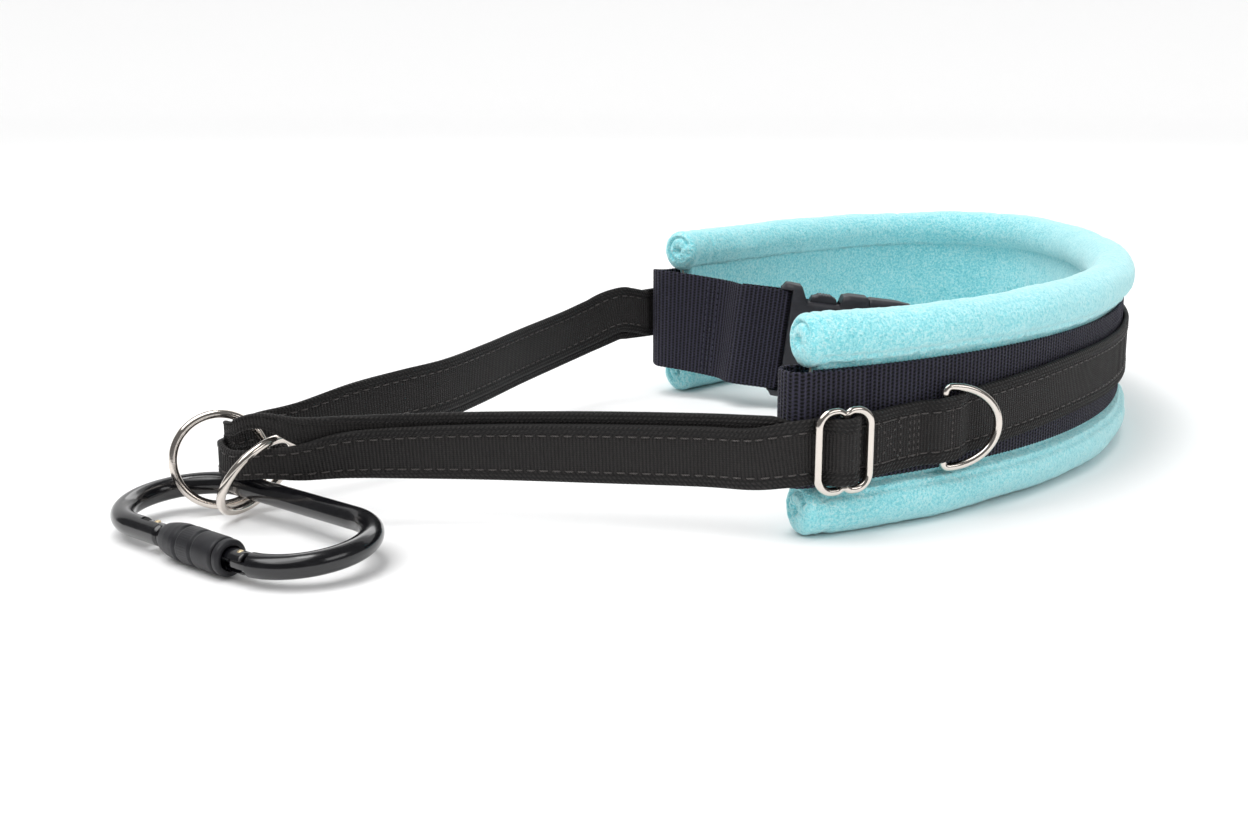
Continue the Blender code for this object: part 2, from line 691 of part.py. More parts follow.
def make_slide(name, along, height):
    frame = add_frame(name + "_place", belt_point(along, SLIDE_OFFSET, height),
                      belt_tangent(along), -belt_normal(along))
    loop = [Vector((x, 0.0, z)) for x, z in slide_loop()]
    slide = wire(name, loop, WIRE_RADIUS, NICKEL, frame, True)
    reach = SLIDE_HALF_HEIGHT - SLIDE_DIP
    bar = cylinder(name + "_bar", WIRE_RADIUS, (0.0, 0.0, -reach), (0.0, 0.0, reach), None, frame,
                   12, CUTTERS)
    hide_cutter(bar)
    boolean(slide, bar, "UNION")


def d_loop():
    """Outline (x, z) of the D: a straight bar at x = 0 and a bow that reaches D_DEPTH."""
    bow = []
    for i in range(17):
        a = math.radians(-90.0 + 180.0 * i / 16)
        x = D_CORNER + (D_DEPTH - D_CORNER) * math.cos(a)
        bow.append((x, D_HALF_HEIGHT * math.sin(a)))
    corner = arc((D_CORNER, D_HALF_HEIGHT - D_CORNER), D_CORNER, 90.0, 180.0, 5)[1:]
    lower = [(x, -z) for x, z in reversed(corner)]
    return bow + corner + lower


def make_d_ring(name, along, direction, height):
    """Hinged on its bar, which runs in the tunnel under the side strap."""
    normal = belt_normal(along)
    bow_direction = belt_tangent(along) * direction * math.cos(D_LEAN) + normal * math.sin(D_LEAN)
    frame = add_frame(name + "_place", belt_point(along, D_BAR_OFFSET, height), bow_direction,
                      Vector((0.0, 0.0, 1.0)).cross(bow_direction))
    wire(name, [Vector((x, 0.0, z)) for x, z in d_loop()], WIRE_RADIUS, NICKEL, frame, True)


# ---------------------------------------------------------------- tether and rings
def tether_stations(inner):
    """Stations of the outer strap or, one strap thickness inside the loop, of the inner one."""
    path = smooth_through(TETHER_WAYPOINTS, TETHER_STEP)
    stations = []
    for index, (x, y, z, half, lean, rise, inner_half) in enumerate(path):
        before = Vector(path[max(index - 1, 0)][:3])
        after = Vector(path[min(index + 1, len(path) - 1)][:3])
        tangent = (after - before).normalized()
        inwards = Vector((tangent.y, -tangent.x, 0.0)).normalized()
        across = Vector((0.0, -math.tan(math.radians(lean)), 1.0))
        across = (across - tangent * across.dot(tangent)).normalized()
        middle = Vector((x, y, z))
        if inner:
            stations.append((middle + inwards * TETHER_SPACING + across * rise, across, inner_half))
        else:
            stations.append((middle, across, half))
    return stations


def round_strap_ends(stations):
    """Adds a half-round end about each pivot, which lies at the first and last waypoint."""
    rounded = []
    for ordered in (stations, stations[::-1]):
        pivot, across, half = ordered[0]
        direction = (pivot - ordered[1][0]).normalized()
        rounded.append([(pivot + direction * half * share, across,
                         max(half * math.sqrt(1.0 - share * share), TETHER_THICKNESS / 2))
                        for share in (0.35, 0.65, 0.87, 0.97)])
    return rounded[0][::-1] + stations + rounded[1]


def make_tether():
    for name, inner in (("tether_outer_strap", False), ("tether_inner_strap", True)):
        ribbon(name, round_strap_ends(tether_stations(inner)), TETHER_THICKNESS, BLACK_WEB)


def make_ring(name, centre, axis):
    axis = Vector(axis).normalized()
    across = axis.cross(Vector((0.0, 0.0, 1.0))).normalized()
    frame = add_frame(name + "_place", centre, across, axis)
    count = 36
    points = [Vector((RING_RADIUS * math.cos(2 * math.pi * i / count), 0.0,
                      RING_RADIUS * math.sin(2 * math.pi * i / count))) for i in range(count)]
    wire(name, points, RING_WIRE_RADIUS, NICKEL, frame, True)


# ---------------------------------------------------------------- carabiner
def carabiner_frame():
    """Local +X runs along the carabiner to its hinge end, +Y from the gate to the spine."""
    x_axis = Vector((math.cos(CARABINER_HEADING), math.sin(CARABINER_HEADING), 0.0))
    flat_y = Vector((-x_axis.y, x_axis.x, 0.0))
    y_axis = flat_y * math.cos(CARABINER_TILT) + Vector((0.0, 0.0, math.sin(CARABINER_TILT)))
    return add_frame("carabiner_place", CARABINER_CENTRE, x_axis, y_axis)


def make_carabiner_body(frame):
    """Open oval rod, from the nose round the spine to the hinge tongue."""
    gate_line = -OVAL_RADIUS
    left = arc((-OVAL_HALF_STRAIGHT, 0.0), OVAL_RADIUS, 270.0, 90.0, 15)
    right = arc((OVAL_HALF_STRAIGHT, 0.0), OVAL_RADIUS, 90.0, -90.0, 15)
    path = [(NOSE_TIP_AT, gate_line), *left, *right]
    points = [Vector((x, y, 0.0)) for x, y in path]
    body = wire("carabiner_body", points, ROD_RADIUS, GLOSS_BLACK, frame, False, 4)
    # The nose keeps only its outer half, which leaves room for the gate's tip to swing inwards.
    recess = cutter_box("nose_recess", (RECESS_FROM, gate_line - NOSE_STEP, -0.006),
                        (NOSE_TIP_AT + 0.002, gate_line + 0.006, 0.006), frame)
    boolean(body, recess, "DIFFERENCE")
    # A flat tongue carries the hinge pin between the gate's two ears.
    tongue = box("hinge_tongue", (GATE_PIN_AT - 0.0034, gate_line - 0.0034, -TONGUE_HALF_THICKNESS),
                 (OVAL_HALF_STRAIGHT + 0.0060, gate_line + 0.0034, TONGUE_HALF_THICKNESS),
                 None, frame, CUTTERS)
    hide_cutter(tongue)
    shoulder = cutter_box("hinge_shoulder", (GATE_PIN_AT - 0.008, gate_line - 0.008, -0.008),
                          (GATE_PIN_AT + HINGE_SHOULDER, gate_line + 0.008, 0.008), frame)
    boolean(body, shoulder, "DIFFERENCE")
    boolean(body, tongue, "UNION")
    bore = cutter_cylinder("hinge_bore", PIN_RADIUS + 0.0001, (GATE_PIN_AT, gate_line, -0.009),
                           (GATE_PIN_AT, gate_line, 0.009), frame, 16)
    boolean(body, bore, "DIFFERENCE")


def make_gate(frame):
    """Round gate with an ear above and below the tongue, a half-round tip and a spring bore."""
    gate_line = -OVAL_RADIUS
    tip = LATCH_PIN_AT - 0.0038
    gate = cylinder("gate", GATE_RADIUS, (tip, gate_line, 0.0),
                    (GATE_PIN_AT + GATE_TAIL, gate_line, 0.0), GLOSS_BLACK, frame, 20)
    flat_tip = cutter_box("gate_tip_flat", (tip - 0.004, gate_line - 0.008, -0.008),
                          (NOSE_TIP_AT + 0.0006, gate_line - NOSE_STEP + GAP, 0.008), frame)
    boolean(gate, flat_tip, "DIFFERENCE")
    slot = cutter_box("gate_slot", (GATE_PIN_AT - 0.0062, gate_line - 0.008, -TONGUE_HALF_THICKNESS - GAP),
                      (GATE_PIN_AT + 0.010, gate_line + 0.008, TONGUE_HALF_THICKNESS + GAP), frame)
    boolean(gate, slot, "DIFFERENCE")
    spring_bore = cutter_cylinder("spring_bore", SPRING_BORE, (SPRING_FROM - 0.0005, gate_line, 0.0),
                                  (GATE_PIN_AT + 0.002, gate_line, 0.0), frame, 16)
    boolean(gate, spring_bore, "DIFFERENCE")
    for label, at in (("gate_hinge_bore", GATE_PIN_AT), ("gate_latch_bore", LATCH_PIN_AT)):
        y = gate_line if at > 0.0 else gate_line + LATCH_PIN_INSET
        hole = cutter_cylinder(label, PIN_RADIUS + 0.0001, (at, y, -0.009), (at, y, 0.009), frame, 16)
        boolean(gate, hole, "DIFFERENCE")


def make_pins(frame):
    gate_line = -OVAL_RADIUS
    half = GATE_RADIUS + 0.0001
    cylinder("gate_hinge_pin", PIN_RADIUS, (GATE_PIN_AT, gate_line, -half),
             (GATE_PIN_AT, gate_line, half), BRASS, frame, 16)
    y = gate_line + LATCH_PIN_INSET
    cylinder("gate_latch_pin", PIN_RADIUS, (LATCH_PIN_AT, y, -half), (LATCH_PIN_AT, y, half),
             BRASS, frame, 16)


def make_spring_and_plunger(frame):
    gate_line = -OVAL_RADIUS
    count = SPRING_TURNS * 8
    end = PLUNGER_FROM - 2 * SPRING_WIRE_RADIUS
    points = []
    for i in range(count + 1):
        angle = 2 * math.pi * SPRING_TURNS * i / count
        x = SPRING_FROM + SPRING_WIRE_RADIUS + (end - SPRING_FROM) * i / count
        points.append(Vector((x, gate_line + SPRING_COIL_RADIUS * math.cos(angle),
                              SPRING_COIL_RADIUS * math.sin(angle))))
    wire("gate_spring", points, SPRING_WIRE_RADIUS, STEEL, frame, False, 1)
    cylinder("spring_plunger", PLUNGER_RADIUS, (PLUNGER_FROM, gate_line, 0.0),
             (PLUNGER_TO, gate_line, 0.0), STEEL, frame, 16)


def make_lock_sleeve(frame):
    """Screw sleeve in three bands with a bell-shaped nose end, and the plain ring behind it."""
    sleeve_place = bpy.data.objects.new("sleeve_place", None)
    PARTS.objects.link(sleeve_place)
    sleeve_place.parent = frame
    sleeve_place.location = (0.0, -OVAL_RADIUS, 0.0)
    groove = SLEEVE_RADIUS - 0.0005
    first = SLEEVE_FROM + 0.0105
    second = SLEEVE_FROM + 0.0190
    profile = [
        (SLEEVE_FROM, SLEEVE_BORE), (SLEEVE_FROM, SLEEVE_RADIUS - 0.0014),
        (SLEEVE_FROM + 0.0030, SLEEVE_RADIUS - 0.0007), (SLEEVE_FROM + 0.0080, SLEEVE_RADIUS),
        (first, SLEEVE_RADIUS), (first + 0.0004, groove), (first + 0.0010, groove),
        (first + 0.0014, SLEEVE_RADIUS), (second, SLEEVE_RADIUS), (second + 0.0004, groove),
        (second + 0.0010, groove), (second + 0.0014, SLEEVE_RADIUS),
        (SLEEVE_TO - 0.0008, SLEEVE_RADIUS), (SLEEVE_TO, SLEEVE_RADIUS - 0.0006),
        (SLEEVE_TO, SLEEVE_BORE),
    ]
    turned("lock_sleeve", profile, SATIN_BLACK, sleeve_place, 24)
    start = SLEEVE_TO + GAP
    ring = [(start, SLEEVE_BORE), (start, SLEEVE_RADIUS - 0.0008), (start + 0.0006, SLEEVE_RADIUS - 0.0002),
            (RETAINER_TO - 0.0006, SLEEVE_RADIUS - 0.0002), (RETAINER_TO, SLEEVE_RADIUS - 0.0008),
            (RETAINER_TO, SLEEVE_BORE)]
    turned("sleeve_retaining_ring", ring, SATIN_BLACK, sleeve_place, 24)


# ---------------------------------------------------------------- buckle
def buckle_frame():
    x_axis = Vector((math.cos(BUCKLE_DROOP), 0.0, -math.sin(BUCKLE_DROOP)))
    return add_frame("buckle_place", BUCKLE_CENTRE, x_axis, (0.0, 1.0, 0.0))


def both_sides(half_outline):
    """Closes an outline that is given for +z from left to right."""
    return half_outline + [(x, -z) for x, z in reversed(half_outline)]


def make_buckle_housing(frame):
    outline = both_sides([
        (HOUSING_LEFT, HOUSING_BLOCK_HALF - 0.0030), (HOUSING_LEFT + 0.0030, HOUSING_BLOCK_HALF),
        (WINDOW_LEFT - 0.0025, HOUSING_BLOCK_HALF), (WINDOW_LEFT, HOUSING_BLOCK_HALF - 0.0025),
        (WINDOW_LEFT, WINDOW_HALF), (WINDOW_RIGHT, WINDOW_HALF),
        (WINDOW_RIGHT, HOUSING_MOUTH_HALF), (HOUSING_MOUTH, HOUSING_MOUTH_HALF - 0.0008)])
    housing = plate("buckle_female_housing", outline, HOUSING_THICKNESS, BUCKLE_BLACK, frame)
    bevel(housing, 0.0016, 2)
    cavity = cutter_box("housing_cavity", (WINDOW_LEFT - 0.0030, -CAVITY_THICKNESS / 2, -CAVITY_HALF),
                        (HOUSING_MOUTH + 0.01, CAVITY_THICKNESS / 2, CAVITY_HALF), frame)
    boolean(housing, cavity, "DIFFERENCE")
    slot_half = CLOSING_HALF_WIDTH + 0.0004
    slot_from = HOUSING_LEFT + BAR_LENGTH
    slot = cutter_box("housing_slot", (slot_from, -0.02, -slot_half),
                      (slot_from + SLOT_LENGTH, 0.02, slot_half), frame)
    boolean(housing, slot, "DIFFERENCE")
    for label, side in (("front", -1.0), ("back", 1.0)):
        low, high = sorted((side * BAR_THICKNESS / 2, side * 0.02))
        notch = cutter_box("housing_bar_" + label, (HOUSING_LEFT - 0.01, low, -slot_half),
                           (slot_from + 0.0001, high, slot_half), frame)
        boolean(housing, notch, "DIFFERENCE")


def make_buckle_male(frame):
    """Frame with the webbing bar, a base that fills the housing's mouth and a guide tongue."""
    start = HOUSING_MOUTH + GAP
    outline = both_sides([
        (start, MALE_HALF), (MALE_END - 0.0020, MALE_HALF), (MALE_END, MALE_HALF - 0.0020)])
    slot_to = MALE_END - BAR_LENGTH
    male = plate("buckle_male", outline, MALE_THICKNESS, BUCKLE_BLACK, frame)
    slot = cutter_box("male_slot", (slot_to - SLOT_LENGTH, -0.02, -MALE_SLOT_HALF),
                      (slot_to, 0.02, MALE_SLOT_HALF), frame)
    boolean(male, slot, "DIFFERENCE")
    for label, side in (("front", -1.0), ("back", 1.0)):
        low, high = sorted((side * BAR_THICKNESS / 2, side * 0.02))
        notch = cutter_box("male_bar_" + label, (slot_to - 0.0001, low, -MALE_SLOT_HALF),
                           (MALE_END + 0.01, high, MALE_SLOT_HALF), frame)
        boolean(male, notch, "DIFFERENCE")
    tongue = box("male_tongue", (WINDOW_LEFT, -TONGUE_THICKNESS / 2, -TONGUE_HALF),
                 (start + 0.0030, TONGUE_THICKNESS / 2, TONGUE_HALF), None, frame, CUTTERS)
    hide_cutter(tongue)
    boolean(male, tongue, "UNION")
    for label, side in (("upper", 1.0), ("lower", -1.0)):
        low, high = sorted((side * ARM_INNER, side * ARM_OUTER))
        stub = box("male_stub_" + label, (ARM_ROOT_AT + 0.0004, -ARM_THICKNESS / 2, low),
                   (start + 0.0030, ARM_THICKNESS / 2, high), None, frame, CUTTERS)
        hide_cutter(stub)
        boolean(male, stub, "UNION")


def make_buckle_arm(name, side, frame):
    """Springy side arm with the thumb pad that shows in the housing's window."""
    left = WINDOW_LEFT + ARM_GAP_LEFT
    right = WINDOW_RIGHT - ARM_GAP_RIGHT
    top = PAD_HALF_WIDTH_TOP
    outline = [(ARM_ROOT_AT, ARM_INNER), (ARM_ROOT_AT, ARM_OUTER), (right, ARM_OUTER),
               (right, top - 0.0014), (right - 0.0030, top), (left + 0.0040, top - 0.0002),
               (left + 0.0010, top - 0.0016), (left, top - 0.0040), (left, ARM_INNER)]
    pivot = ((ARM_INNER + ARM_OUTER) / 2) * side
    shifted = [(x - ARM_ROOT_AT, z * side - pivot) for x, z in outline]
    arm = plate(name, shifted, ARM_THICKNESS, BUCKLE_BLACK, frame)
    arm.location = (ARM_ROOT_AT, 0.0, pivot)


# ---------------------------------------------------------------- the whole belt
def centre_on_footprint():
    """Moves everything level, so that the middle of the belt's bounding box is at x = y = 0."""
    graph = bpy.context.evaluated_depsgraph_get()
    graph.update()
    low = Vector((math.inf, math.inf))
    high = Vector((-math.inf, -math.inf))
    for part in PARTS.objects:
        if part.type != "MESH":
            continue
        evaluated = part.evaluated_get(graph)
        for vertex in evaluated.data.vertices:
            place = evaluated.matrix_world @ vertex.co
            low = Vector(map(min, low, place.xy))
            high = Vector(map(max, high, place.xy))
    middle = ((low + high) / 2).to_3d()
    for part in [*PARTS.objects, *CUTTERS.objects]:
        if part.parent is None:
            part.location -= middle


def build():
    make_fleece_sleeve()
    make_foam()
    make_end_caps()
    make_navy_band()
    make_side_strap()
    make_far_closing_strap()
    make_near_closing_strap()
    make_slide("near_slide", NEAR_SLIDE_AT, side_height(NEAR_SLIDE_AT))
    make_slide("far_slide", PAD_LENGTH - FAR_SLIDE_AT, side_height(PAD_LENGTH))
    make_d_ring("near_d_ring", D_RING_AT, 1.0, side_height(D_RING_AT))
    make_d_ring("far_d_ring", PAD_LENGTH - D_RING_AT, -1.0, side_height(PAD_LENGTH))
    make_tether()
    make_ring("right_o_ring", RIGHT_RING_CENTRE, RIGHT_RING_AXIS)
    make_ring("left_o_ring", LEFT_RING_CENTRE, LEFT_RING_AXIS)
    carabiner = carabiner_frame()
    make_carabiner_body(carabiner)
    make_gate(carabiner)
    make_pins(carabiner)
    make_spring_and_plunger(carabiner)
    make_lock_sleeve(carabiner)
    buckle = buckle_frame()
    make_buckle_housing(buckle)
    make_buckle_male(buckle)
    make_buckle_arm("buckle_upper_arm", 1.0, buckle)
    make_buckle_arm("buckle_lower_arm", -1.0, buckle)
    centre_on_footprint()


clear_scene()
PARTS = new_collection(BELT_NAME)
CUTTERS = new_collection("cutters")
STATIONS = belt_stations(STATION_COUNT)
PAD_STATION_ALONGS = {station[0] for station in STATIONS}
PAD_LENGTH = STATIONS[-1][0]

FLEECE = material("turquoise_fleece", (0.42, 0.78, 0.82), 0.95)
FOAM = material("foam", (0.85, 0.84, 0.78), 0.9)
NAVY = material("navy_webbing", (0.018, 0.018, 0.040), 0.75)
BLACK_WEB = material("black_webbing", (0.020, 0.018, 0.018), 0.8)
BUCKLE_BLACK = material("black_acetal", (0.015, 0.015, 0.018), 0.4)
GLOSS_BLACK = material("black_anodised", (0.008, 0.008, 0.010), 0.15, 0.6)
SATIN_BLACK = material("satin_black", (0.015, 0.015, 0.018), 0.4, 0.3)
NICKEL = material("nickel", (0.78, 0.74, 0.70), 0.15, 1.0)
BRASS = material("brass", (0.75, 0.60, 0.32), 0.3, 1.0)
STEEL = material("spring_steel", (0.55, 0.55, 0.56), 0.3, 1.0)

build()
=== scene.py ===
"""Looks of the gait belt: fleece, webbing, thread, wire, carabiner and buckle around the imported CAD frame.

Everything is in metres. Paths are written in the plan coordinates of the belt, whose origin is the
middle of the belt's opening; SHIFT, worked out from the frame's two O-rings, moves them onto the CAD.
"""

import json
import math

import bmesh
import bpy
import numpy as np
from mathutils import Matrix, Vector, kdtree, noise


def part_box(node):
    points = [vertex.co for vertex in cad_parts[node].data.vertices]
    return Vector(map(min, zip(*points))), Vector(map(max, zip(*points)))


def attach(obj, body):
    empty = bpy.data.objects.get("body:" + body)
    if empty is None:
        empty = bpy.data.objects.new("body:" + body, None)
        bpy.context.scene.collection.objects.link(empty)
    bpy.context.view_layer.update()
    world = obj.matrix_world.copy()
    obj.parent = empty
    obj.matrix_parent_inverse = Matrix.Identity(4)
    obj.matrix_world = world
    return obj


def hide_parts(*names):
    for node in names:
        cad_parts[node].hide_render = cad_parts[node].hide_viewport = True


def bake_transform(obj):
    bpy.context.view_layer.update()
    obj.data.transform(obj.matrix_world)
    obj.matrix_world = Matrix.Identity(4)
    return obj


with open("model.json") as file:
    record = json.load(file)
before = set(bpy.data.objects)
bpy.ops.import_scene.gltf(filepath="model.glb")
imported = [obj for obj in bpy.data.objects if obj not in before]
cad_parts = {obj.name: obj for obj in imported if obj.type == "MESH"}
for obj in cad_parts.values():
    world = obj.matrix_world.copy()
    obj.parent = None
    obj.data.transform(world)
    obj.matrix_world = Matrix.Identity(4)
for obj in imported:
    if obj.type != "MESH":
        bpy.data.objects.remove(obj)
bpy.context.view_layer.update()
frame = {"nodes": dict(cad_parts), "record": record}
TAU = 2.0 * math.pi

# ---------------- driving dimensions
NEAR_SPAN = ((-0.0557, -0.1180), (0.0136, -0.0912), (0.1061, -0.0185), (0.1061, 0.1209))
FAR_SPAN = ((0.1061, 0.1209), (0.1061, 0.2389), (0.0288, 0.2450), (-0.0900, 0.1180))
PAD_HEIGHT = 0.078
MID_HEIGHT = PAD_HEIGHT / 2
ROLL_RADIUS = 0.0097
ROLL_HEIGHT = ROLL_RADIUS * math.cos(math.radians(16.0))
PANEL_HALF = 0.0040
GAP = 0.0003

NAVY_THICKNESS = 0.0015
BAND_HALF = 0.0204
BAND_OFFSET = PANEL_HALF + GAP + NAVY_THICKNESS / 2
CLOSING_OFFSET = BAND_OFFSET + NAVY_THICKNESS + GAP
CLOSING_HALF = 0.0234
NEAR_CLOSING_HALF = 0.0208
CLOSING_OVERLAP = 0.020
CLOSING_RUN = (0.0, 0.010, 0.019)
SIDE_THICKNESS = 0.0022
SIDE_HALF = 0.0118
SIDE_OFFSET = BAND_OFFSET + (NAVY_THICKNESS + SIDE_THICKNESS) / 2 + GAP
SIDE_END_OFFSET = CLOSING_OFFSET + (NAVY_THICKNESS + SIDE_THICKNESS) / 2 + GAP
SIDE_NEAR_HEIGHT = 0.0318
SIDE_SAG_LENGTH = 0.150

WIRE = 0.0015
SLIDE_HALF_HEIGHT = 0.0140
SLIDE_HALF_WIDTH = 0.0100
SLIDE_CORNER = 0.0055
SLIDE_DIP = 0.0012
SLIDE_WEAVE = WIRE + GAP + SIDE_THICKNESS / 2
WEAVE_HIGH_TO = 0.0015
WEAVE_LOW_FROM = 0.0080
NEAR_SLIDE_AT = 0.0085
FAR_SLIDE_AT = 0.0060
SLIDE_OFFSET = SIDE_END_OFFSET + SLIDE_WEAVE
D_HALF_HEIGHT = 0.0147
D_DEPTH = 0.0210
D_CORNER = 0.0020
D_RING_AT = 0.0530
D_BAR_OFFSET = BAND_OFFSET + NAVY_THICKNESS / 2 + GAP + WIRE
D_TUNNEL_OFFSET = D_BAR_OFFSET + WIRE + GAP + SIDE_THICKNESS / 2
D_TUNNEL_HALF = 0.0090
D_LEAN = math.radians(19.0)

# x, y, z, half width, lean of the top edge (degrees), the inner strap's rise and half width;
# FULL_WIDTH holds the last four where the strap is at its full width.
FULL_WIDTH = (0.0108, 0.0, 0.0042, 0.0108)
TETHER_WAYPOINTS = (
    (-0.0755, -0.1262, 0.0290, *FULL_WIDTH),
    (-0.0920, -0.1195, 0.0282, 0.0108, 2.0, 0.0042, 0.0108),
    (-0.1260, -0.1120, 0.0272, 0.0108, 4.0, 0.0042, 0.0108),
    (-0.1620, -0.1065, 0.0264, 0.0106, 8.0, 0.0042, 0.0106),
    (-0.1900, -0.1048, 0.0258, 0.0102, 12.0, 0.0048, 0.0100),
    (-0.2150, -0.1052, 0.0250, 0.0092, 14.0, 0.0064, 0.0086),
    (-0.2317, -0.1077, 0.0229, 0.0070, 12.0, 0.0116, 0.0056),
    (-0.2448, -0.1072, 0.0222, 0.0056, 8.0, 0.0158, 0.0030),
    (-0.2562, -0.1048, 0.0213, 0.0056, 4.0, 0.0134, 0.0028),
    (-0.2624, -0.0974, 0.0221, 0.0060, 0.0, 0.0105, 0.0030),
    (-0.2628, -0.0874, 0.0214, 0.0060, 0.0, 0.0065, 0.0044),
    (-0.2548, -0.0761, 0.0234, 0.0066, 0.0, 0.0046, 0.0062),
    (-0.2409, -0.0666, 0.0234, 0.0085, 0.0, 0.0042, 0.0084),
    (-0.2230, -0.0505, 0.0256, 0.0102, 0.0, 0.0042, 0.0102),
    (-0.2070, -0.0350, 0.0268, *FULL_WIDTH),
    (-0.1925, -0.0170, 0.0274, *FULL_WIDTH),
    (-0.1790, 0.0100, 0.0283, *FULL_WIDTH),
    (-0.1644, 0.0445, 0.0293, *FULL_WIDTH),
    (-0.1477, 0.0765, 0.0312, *FULL_WIDTH),
    (-0.1345, 0.0925, 0.0345, *FULL_WIDTH),
    (-0.1225, 0.1005, 0.0385, *FULL_WIDTH),
)
# The outer strap runs on from its lift axis to the outer bar of each slide.
TETHER_NEAR_END = (
    (-0.0540, -0.1269, 0.0318, 0.0116, 0.0, 0.0, 0.0108),
    (-0.0590, -0.1289, 0.0316, 0.0116, 0.0, 0.0, 0.0108),
    (-0.0662, -0.1290, 0.0306, 0.0112, 0.0, 0.0030, 0.0108),
)
TETHER_FAR_END = (
    (-0.1160, 0.1061, 0.0389, 0.0112, 0.0, 0.0030, 0.0108),
    (-0.1070, 0.1142, 0.0390, 0.0116, 0.0, 0.0, 0.0108),
    (-0.0994, 0.1212, 0.0390, 0.0116, 0.0, 0.0, 0.0108),
)
TETHER_THICKNESS = 0.0018
TETHER_SPACING = TETHER_THICKNESS + 0.0006
TETHER_BEND_REACH = 0.012
INNER_TRIM_NEAR = 0.0050
INNER_TRIM_FAR = 0.0120

RING_RADIUS = 0.0166
RING_WIRE = 0.0016
RIGHT_RING_CENTRE = (-0.2487, -0.1020, 0.0169)
RIGHT_RING_AXIS = (-0.739, 0.405, 0.539)
LEFT_RING_CENTRE = (-0.2643, -0.0913, 0.0198)
LEFT_RING_AXIS = (-0.330, 0.936, -0.124)

CARABINER_CENTRE = (-0.2471, -0.1317, 0.0086)
CARABINER_HEADING = math.radians(-40.7)
CARABINER_TILT = math.radians(5.1)
ROD_RADIUS = 0.0041
OVAL_HALF_STRAIGHT = 0.0310
OVAL_RADIUS = 0.0230
GATE_PIN_AT = 0.0300
LATCH_PIN_AT = -0.0175
LATCH_PIN_INSET = 0.0012
NOSE_TIP_AT = -0.0125
RECESS_FROM = -0.0245
NOSE_STEP = 0.0008
HINGE_SHOULDER = 0.0050
GATE_RADIUS = 0.0038
GATE_TAIL = 0.0036
EAR_REACH = 0.0046
TONGUE_HALF = 0.0016
TONGUE_RADIUS = 0.0034
PIN_RADIUS = 0.0011
SLEEVE_FROM = -0.0095
SLEEVE_TO = 0.0212
SLEEVE_RADIUS = 0.0064
SLEEVE_BORE = 0.0043
RETAINER_TO = 0.0248

BUCKLE_CENTRE = (-0.0290, 0.0800, 0.0305)
BUCKLE_DROOP = math.radians(7.0)
HOUSING_LEFT = -0.0195
HOUSING_MOUTH = 0.0210
HOUSING_HALF = 0.0065
BLOCK_HALF = 0.0267
MOUTH_HALF = 0.0245
WINDOW_LEFT = -0.0070
WINDOW_RIGHT = 0.0080
WINDOW_HALF = 0.0195
CAVITY_HALF = 0.0205
CAVITY_DEPTH = 0.0042
BAR_LENGTH = 0.0030
SLOT_LENGTH = 0.0021
PLUG_SLOT_LENGTH = 0.0034
BAR_HALF = 0.0020
MALE_END = 0.0430
MALE_HALF_THICKNESS = 0.0055
MALE_HALF = 0.0240
MALE_SLOT_HALF = 0.0213
ARM_INNER = 0.0150
ARM_OUTER = 0.0190
ARM_HALF_THICKNESS = 0.0038
ARM_ROOT_AT = 0.0174
PAD_TOP = 0.0232

NAVY_PITCH = 0.0019
NAVY_DOT = 0.0013
NAVY_LOOK = NAVY_THICKNESS - 0.0002    # the weave's relief makes up the rest
RIB_PITCH = 0.0013
TWILL_PITCH = 0.0017
TWILL_SLANT = 0.9
HEM_WIDTH = 0.0046
HEM_FROM = 0.0066
HEM_AT = SIDE_HALF - HEM_WIDTH
STITCH_PITCH = 0.0046
STITCH_LENGTH = 0.0031
THREAD_RADIUS = 0.00030

SWELL_ROOM = 0.0006
VOXEL = 0.004
PRESSURE = 4.0
SWELL_CAP = 0.0016
SWELL_FRAMES = 20
ROLL_REACH = 0.0086                    # height above a roll's centre where the flat panel takes over
ROLL_FADE = 0.0020
SEAM_ANGLE = 34.0
SEAM_DEPTH = 0.0011
CROSS_SEAMS_FROM_FAR_END = (0.0135, 0.150, 0.205)
CROSS_SEAM_NEAR_END = 0.0060
CROSS_SEAM_DEPTH = 0.0007
CROSS_SEAM_WIDTH = 0.0014
PILE_SIZES = ((0.65, 0.0017), (0.55, 0.0036), (0.8, 0.012))    # share and lump size of the tufts
PAD_TUFTS = 0.00030
CAP_TUFTS = 0.00026
CAP_TALL = 0.0036
CAP_TUCK = 0.0050

LOFT_STEP = 0.0004
THROUGH = 0.02                         # half length of a cutter that goes right through
WELD_ANGLE = 2.4
WELD_SWELL = 0.05

SKY_LEVEL = 0.68
SKY_LOSS_IN_METAL = 0.52
SKY_GAIN_IN_VIEW = 0.30


# ---------------- curves
def unit(vectors):
    return vectors / np.linalg.norm(vectors, axis=-1, keepdims=True)


def run_of(points):
    """Arc length at each point."""
    steps = np.linalg.norm(np.diff(points[:, :3], axis=0), axis=1)
    return np.concatenate(([0.0], np.cumsum(steps)))


def resample(points, step):
    run = run_of(points)
    wanted = np.linspace(0.0, run[-1], max(2, round(run[-1] / step) + 1))
    return np.column_stack([np.interp(wanted, run, column) for column in points.T])


def smooth_through(waypoints, step):
    """Catmull-Rom curve through waypoints of any dimension, at an even step."""
    way = np.asarray(waypoints, float)
    padded = np.vstack((way[:1], way, way[-1:]))
    t = np.linspace(0.0, 1.0, 24, endpoint=False)[:, None]
    spans = [0.5 * (2 * b + (c - a) * t + (2 * a - 5 * b + 4 * c - d) * t ** 2
                    + (3 * b - a - 3 * c + d) * t ** 3)
             for a, b, c, d in zip(padded, padded[1:], padded[2:], padded[3:])]
    return resample(np.vstack(spans + [way[-1:]]), step)


